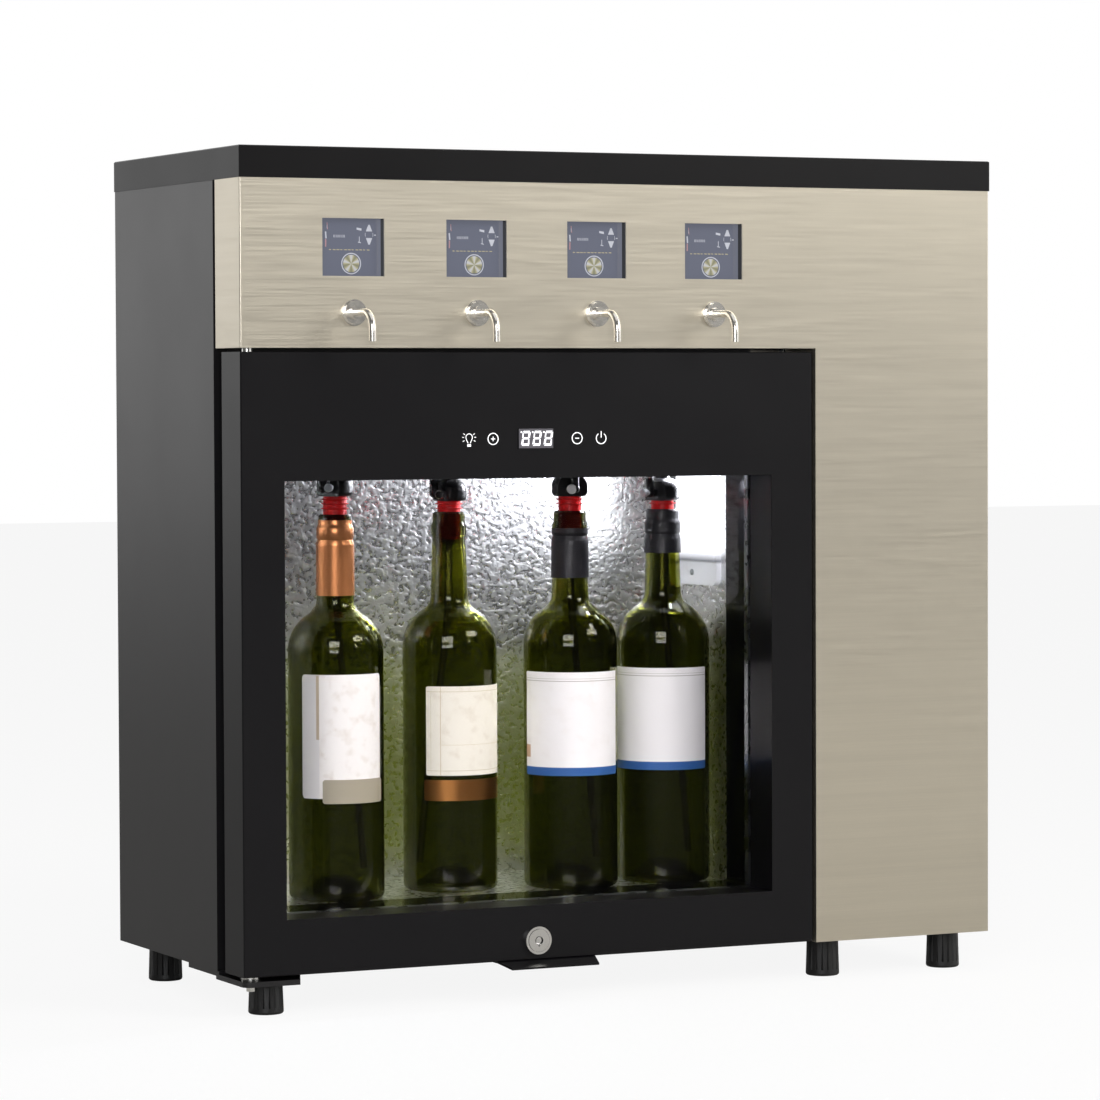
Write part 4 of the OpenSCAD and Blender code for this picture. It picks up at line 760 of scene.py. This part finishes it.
def neckProfile(z0, z1, s):
    marks = [(r, chamber["mouth"] + rise) for r, rise in s["neck"]]

    def radius(z):
        if z <= marks[0][1]:
            return marks[0][0]
        for (r0, a), (r1, b) in zip(marks, marks[1:]):
            if z <= b:
                return r0 + (r1 - r0) * (z - a) / (b - a)
        return marks[-1][0]

    heights = sorted({z0, z1} | {z for _, z in marks if z0 < z < z1} |
                     {z0 + (z1 - z0) * k / s["steps"] for k in range(1, s["steps"])})
    outer = [(radius(z) + s["gap"] + s["wall"], z) for z in heights]
    inner = [(radius(z) + s["gap"], z) for z in reversed(heights)]
    return outer + inner


for name, s in capsules.items():
    b = bottles[s["bottle"]]
    foil = foilMaterial(name.replace("_", " ") + " foil", s, capsuleFit["wrinkle"], capsuleFit["wrinkleDepth"])
    lathe(name, neckProfile(s["low"], s["high"], capsuleFit), (b["x"], b["y"]), foil)
print("labels and capsules made")


def discAlong(name, centre, angle, profile, material, body):
    # a nut or button turned round a horizontal line that points at angle; profile is (radius, distance out)
    verts, faces = [], []
    segments = 24
    a = math.radians(angle)
    out = Vector((math.cos(a), math.sin(a), 0))
    side = Vector((-math.sin(a), math.cos(a), 0))
    n = len(profile)
    for j in range(segments):
        t = 2 * math.pi * j / segments
        ring = math.cos(t) * side + math.sin(t) * Vector((0, 0, 1))
        for r, d in profile:
            verts.append(place(*centre) + (out * d + ring * r) * mm)
    for j in range(segments):
        k = (j + 1) % segments
        for m in range(n - 1):
            faces.append((j * n + m, k * n + m, k * n + m + 1, j * n + m + 1))
    faces.append(tuple(j * n for j in range(segments)))
    faces.append(tuple(reversed([j * n + n - 1 for j in range(segments)])))
    obj = newPiece(name, verts, faces, material, body)
    fixNormals(obj)
    smoothMesh(obj, 30)


# A nut on the side of each stopper: out is from the bottle's middle and z from the stopper's foot, in mm
fittings = [
    {"angle": 232, "radius": 3.4, "out": 17.0, "length": 3.4, "z": 7.0, "finish": "clear"},
    {"angle": 222, "radius": 3.6, "out": 16.2, "length": 4.0, "z": 5.5, "finish": "nickel"},
    {"angle": 250, "radius": 3.9, "out": 13.6, "length": 4.2, "z": 6.0, "finish": "white"},
    {"angle": 198, "radius": 3.4, "out": 19.0, "length": 4.4, "z": 6.5, "finish": "clear"},
]
nut = {"neck": 1.2, "neckLength": 6, "innerEdge": 0.5, "outerEdge": 0.8}
nutFinish = {
    "clear": makeMoulded("clear polycarbonate nut, moulded", "#b9bcc0", 0.14, 0.004, 0.000006),
    "nickel": lockNickel,
    "white": makeMoulded("white acetal nut, moulded", "#f0f0ee", 0.25),
}
for i, (b, s) in enumerate(zip(bottles, fittings), 1):
    a = math.radians(s["angle"])
    centre = (b["x"] + s["out"] * math.cos(a), b["y"] + s["out"] * math.sin(a), chamber["mouth"] + b["out"] + s["z"])
    profile = [(s["radius"] - nut["neck"], -nut["neckLength"]), (s["radius"] - nut["neck"], 0),
               (s["radius"], nut["innerEdge"]), (s["radius"], s["length"] - nut["outerEdge"]),
               (s["radius"] - nut["outerEdge"], s["length"])]
    discAlong(f"fitting_nut_{i}", centre, s["angle"], profile, nutFinish[s["finish"]], f"stopper_{i}")
coverScrew = {"at": (455.7, 147.1, 291), "head": [(2.6, -0.2), (2.6, 0.9), (1.6, 1.5)]}
discAlong("cover_screw", coverScrew["at"], 180, coverScrew["head"], zincSheet, "cabinet")
print("fittings made")


class FlatArt:
    # collects flat printed shapes on a plane that faces the front, as thin closed plates
    def __init__(self, y, thick):
        self.y, self.thick = y, thick
        self.verts, self.faces = [], []

    def plate(self, outline):
        n, base = len(outline), len(self.verts)
        for y in (self.y, self.y - self.thick):
            self.verts += [place(x, y, z) for x, z in outline]
        self.faces.append(tuple(base + k for k in range(n)))
        self.faces.append(tuple(base + n + k for k in reversed(range(n))))
        for k in range(n):
            m = (k + 1) % n
            self.faces.append((base + k, base + n + k, base + n + m, base + m))

    def bar(self, x0, z0, x1, z1, width):
        d = Vector((x1 - x0, z1 - z0)).normalized() * width / 2
        n = Vector((-d.y, d.x))
        self.plate([(x0 - d.x + n.x, z0 - d.y + n.y), (x0 - d.x - n.x, z0 - d.y - n.y),
                    (x1 + d.x - n.x, z1 + d.y - n.y), (x1 + d.x + n.x, z1 + d.y + n.y)])

    def arc(self, x, z, r, width, start=0, end=360, count=40):
        for k in range(count):
            a = math.radians(start + (end - start) * k / count)
            b = math.radians(start + (end - start) * (k + 1) / count)
            i, o = r - width / 2, r + width / 2
            self.plate([(x + i * math.cos(a), z + i * math.sin(a)), (x + o * math.cos(a), z + o * math.sin(a)),
                        (x + o * math.cos(b), z + o * math.sin(b)), (x + i * math.cos(b), z + i * math.sin(b))])

    def draw(self, x, z, shapes):
        # plates are corners, bars (x0, z0, x1, z1, width), arcs (x, z, radius, width, start, end, count), from x and z
        for outline in shapes.get("plates", []):
            self.plate([(x + px, z + pz) for px, pz in outline])
        for x0, z0, x1, z1, width in shapes.get("bars", []):
            self.bar(x + x0, z + z0, x + x1, z + z1, width)
        for px, pz, *rest in shapes.get("arcs", []):
            self.arc(x + px, z + pz, *rest)

    def make(self, name, material, body):
        # neighbouring plates share their corners
        fixNormals(newPiece(name, self.verts, self.faces, material, body), 1e-7)


# The marks of the touch keys, each drawn from its own middle in mm
panel = {"z": 403.4, "proud": 0.06}
rays = [(math.cos(math.radians(a)), math.sin(math.radians(a))) for a in (-26, 6, 36, 144, 174, 206)]
keyMarks = [
    # bulb: round glass drawn in to a cap, with rays
    {"x": 187.3, "arcs": [(0, 1.3, 2.7, 0.55, -35, 215, 26)],
     "bars": [(-2.3, -0.4, -1.0, -3.0, 0.55), (2.3, -0.4, 1.0, -3.0, 0.55), (-0.7, -4.9, 0.7, -4.9, 1.7)] +
             [(4.5 * c, 0.8 + 4.5 * d, 5.7 * c, 0.8 + 5.7 * d, 0.45) for c, d in rays]},
    # plus, minus and power
    {"x": 207.5, "arcs": [(0, 0, 4.3, 0.68)], "bars": [(-1.4, 0, 1.4, 0, 0.68), (0, -1.4, 0, 1.4, 0.68)]},
    {"x": 279.2, "arcs": [(0, 0, 4.3, 0.68)], "bars": [(-1.4, 0, 1.4, 0, 0.68)]},
    {"x": 299.9, "arcs": [(0, -0.2, 4.2, 0.68, 125, 415, 34)], "bars": [(0, 0.6, 0, 4.9, 0.68)]},
]
art = FlatArt(0.0, panel["proud"])
for mark in keyMarks:
    art.draw(mark["x"], panel["z"], mark)
art.make("door_key_marks", whitePrint, "door")

display = {
    "window": [(229.6, 396.0), (259.4, 396.0), (259.4, 411.0), (229.6, 411.0)], "windowFace": 0.3, "windowThick": 0.03,
    "left": 231.2, "pitch": 9.6, "bottom": 397.9, "height": 11.4, "width": 7.0, "bar": 1.7, "lean": 0.13,
    "face": 0.27, "thick": 0.04, "dotInset": 0.9, "dotRadius": 0.35,
}


def makeDigits(s):
    # three seven-part digits with a dot before each, all parts lit
    window = FlatArt(s["windowFace"], s["windowThick"])
    window.plate(s["window"])
    window.make("display_window_print", makeGlow("grey display window, back-lit", "#57555b", 0.25), "door")
    w, h, b, half = s["width"], s["height"], s["bar"], s["height"] / 2
    parts = [
        [(0.6, 0), (w - 0.2, 0), (w - 1.2, b), (b + 0.2, b)],
        [(0.6, h), (w - 0.6, h), (w - b, h - b), (b, h - b)],
        [(1.2, half), (b, half + b * 0.42), (w - b, half + b * 0.42), (w - 1.2, half), (w - b, half - b * 0.42),
         (b, half - b * 0.42)],
        [(0, 0.8), (b, b + 0.3), (b, half - 0.9), (0.4, half - 0.2)],
        [(w, 0.6), (w - b * 0.75, b + 0.3), (w - b * 0.75, half - 0.9), (w - 0.6, half - 0.2)],
        [(0.3, half + 0.3), (b * 0.75, half + 0.9), (b * 0.75, h - b - 0.3), (0.3, h - 0.8)],
        [(w - 0.3, half + 0.3), (w - b, half + 0.9), (w - b, h - b - 0.3), (w, h - 0.8)],
    ]
    lean, dotZ, r = s["lean"], h - s["dotInset"], s["dotRadius"]
    shapes = {"plates": [[(px + pz * lean, pz) for px, pz in outline] for outline in parts],
              "arcs": [(dotZ * lean - s["dotInset"], dotZ, r, 2 * r, 0, 360, 10)]}
    digits = FlatArt(s["face"], s["thick"])
    for k in range(3):
        digits.draw(s["left"] + k * s["pitch"], s["bottom"], shapes)
    digits.make("display_digits", makeGlow("white LED digits", "#f7f8fc", 1.1), "door")


makeDigits(display)
print("door keys made")

# What the four screens show; shapes are in mm from a screen's lower left corner
screens = {
    "middles": [92.125, 194.375, 296.625, 398.875], "low": 527, "width": 50.7, "face": 7.0, "thick": 0.03,
    "white": {
        # size tile, up and down arrows
        "plates": [[(31.0, 35.2), (35.0, 34.4), (35.0, 36.2), (31.0, 36.8)],
                   [(38.6, 34.0), (43.8, 34.0), (41.8, 39.0), (40.6, 39.0)],
                   [(38.6, 29.0), (43.8, 29.0), (41.8, 24.0), (40.6, 24.0)]],
        # level bar, bottle sign, mark beside the arrows, and a row of small figures
        "bars": [(5.9, 28.9, 5.6, 33.0, 1.1), (6.8, 36.2, 6.8, 38.4, 0.5), (33.2, 26.2, 33.2, 29.8, 0.5),
                 (32.4, 25.8, 34.2, 25.4, 0.6), (45.8, 31.2, 46.4, 31.2, 0.9)] +
                [(12.2 + k * 2.0, 29.4, 12.2 + k * 2.0, 31.0, 0.35) for k in range(5)] +
                [(13.1 + k * 2.0, 29.2, 13.1 + k * 2.0, 31.0, 0.35) for k in range(5)],
        # figure between the arrows, ring round the button
        "arcs": [(41.2, 31.5, 3.2, 0.35, 155, 205, 6), (41.2, 31.5, 3.2, 0.35, -25, 25, 6),
                 (26.4, 9.6, 7.7, 0.75, 0, 360, 48)],
    },
    "red": {"bars": [(5.6, 22.6, 5.7, 27.4, 1.0), (7.2, 35.4, 6.8, 40.0, 0.6)]},
    # dashed line over the button
    "yellow": {"bars": [(8.6 + k * 3.1, 20.0, 8.6 + k * 3.1 + (1.6 if k % 3 else 1.0), 19.9, 0.6)
                        for k in range(11)]},
    "inks": {
        "white": ("screen graphics, white", "#a9abb4", 0.4),
        "red": ("screen graphics, dull red", "#a07c80", 0.25),
        "yellow": ("screen graphics, dull yellow", "#a8a07e", 0.28),
    },
    "button": {"x": 26.4, "z": 9.6, "radius": 6.6, "sides": 60, "beams": 5},
}


def makeScreens(s):
    for ink, (name, colour, strength) in s["inks"].items():
        marks = FlatArt(s["face"], s["thick"])
        for x in s["middles"]:
            marks.draw(x - s["width"] / 2, s["low"], s[ink])
        marks.make(f"screen_marks_{ink}", makeGlow(name, colour, strength), "cabinet")


def makeButtons(s, button):
    # the round button pictured on each screen: the beams of a spun cone in gold and silver
    material, tree, shader = newMaterial("screen button, spun metal picture", {
        "Base Color": hexColour("#8f8c86"), "Roughness": 0.25, "Emission Strength": 0.22,
        "Emission Color": hexColour("#a9a69c")})
    uv = addNode(tree, "ShaderNodeUVMap", {"uv_map": "dial"})
    split = addNode(tree, "ShaderNodeSeparateXYZ", None, {0: uv})
    turns = addNode(tree, "ShaderNodeMath", {"operation": "MULTIPLY", 1: button["beams"] * 2 * math.pi},
                    {0: split.outputs["X"]})
    wave = addNode(tree, "ShaderNodeMath", {"operation": "SINE"}, {0: turns})
    tone = addNode(tree, "ShaderNodeMapRange", {"From Min": -1, "From Max": 1}, {"Value": wave})
    stops = [(0.0, hexColour("#7d7d68")), (0.5, hexColour("#a39e80")), (1.0, hexColour("#b4b5b8"))]
    colour = addNode(tree, "ShaderNodeValToRGB", {"stops": stops}, {"Fac": tone})
    link(tree, shader, {"Emission Color": colour, "Base Color": colour})
    work = bmesh.new()
    layer = work.loops.layers.uv.new("dial")
    r, count = button["radius"], button["sides"]
    ys = (s["face"], s["face"] - s["thick"])
    for x in s["middles"]:
        cx, cz = x - s["width"] / 2 + button["x"], s["low"] + button["z"]
        centres = [work.verts.new(place(cx, y, cz)) for y in ys]
        rims = [[work.verts.new(place(cx + r * math.cos(2 * math.pi * k / count), y,
                                      cz + r * math.sin(2 * math.pi * k / count))) for k in range(count)] for y in ys]
        for k in range(count):
            m = (k + 1) % count
            for side in (0, 1):
                keys = [centres[side], rims[side][k], rims[side][m]]
                face = work.faces.new(keys if side == 0 else keys[::-1])
                for loop in face.loops:
                    at = 0 if loop.vert == rims[side][k] else 1 if loop.vert == rims[side][m] else 0.5
                    loop[layer].uv = ((k + at) / count, 0 if loop.vert == centres[side] else 1)
            work.faces.new((rims[0][k], rims[0][m], rims[1][m], rims[1][k]))
    bmesh.ops.recalc_face_normals(work, faces=work.faces)
    mesh = bpy.data.meshes.new("screen_buttons")
    work.to_mesh(mesh)
    work.free()
    addPiece("screen_buttons", mesh, material, "cabinet")


makeScreens(screens)
makeButtons(screens, screens["button"])
print("screens made")
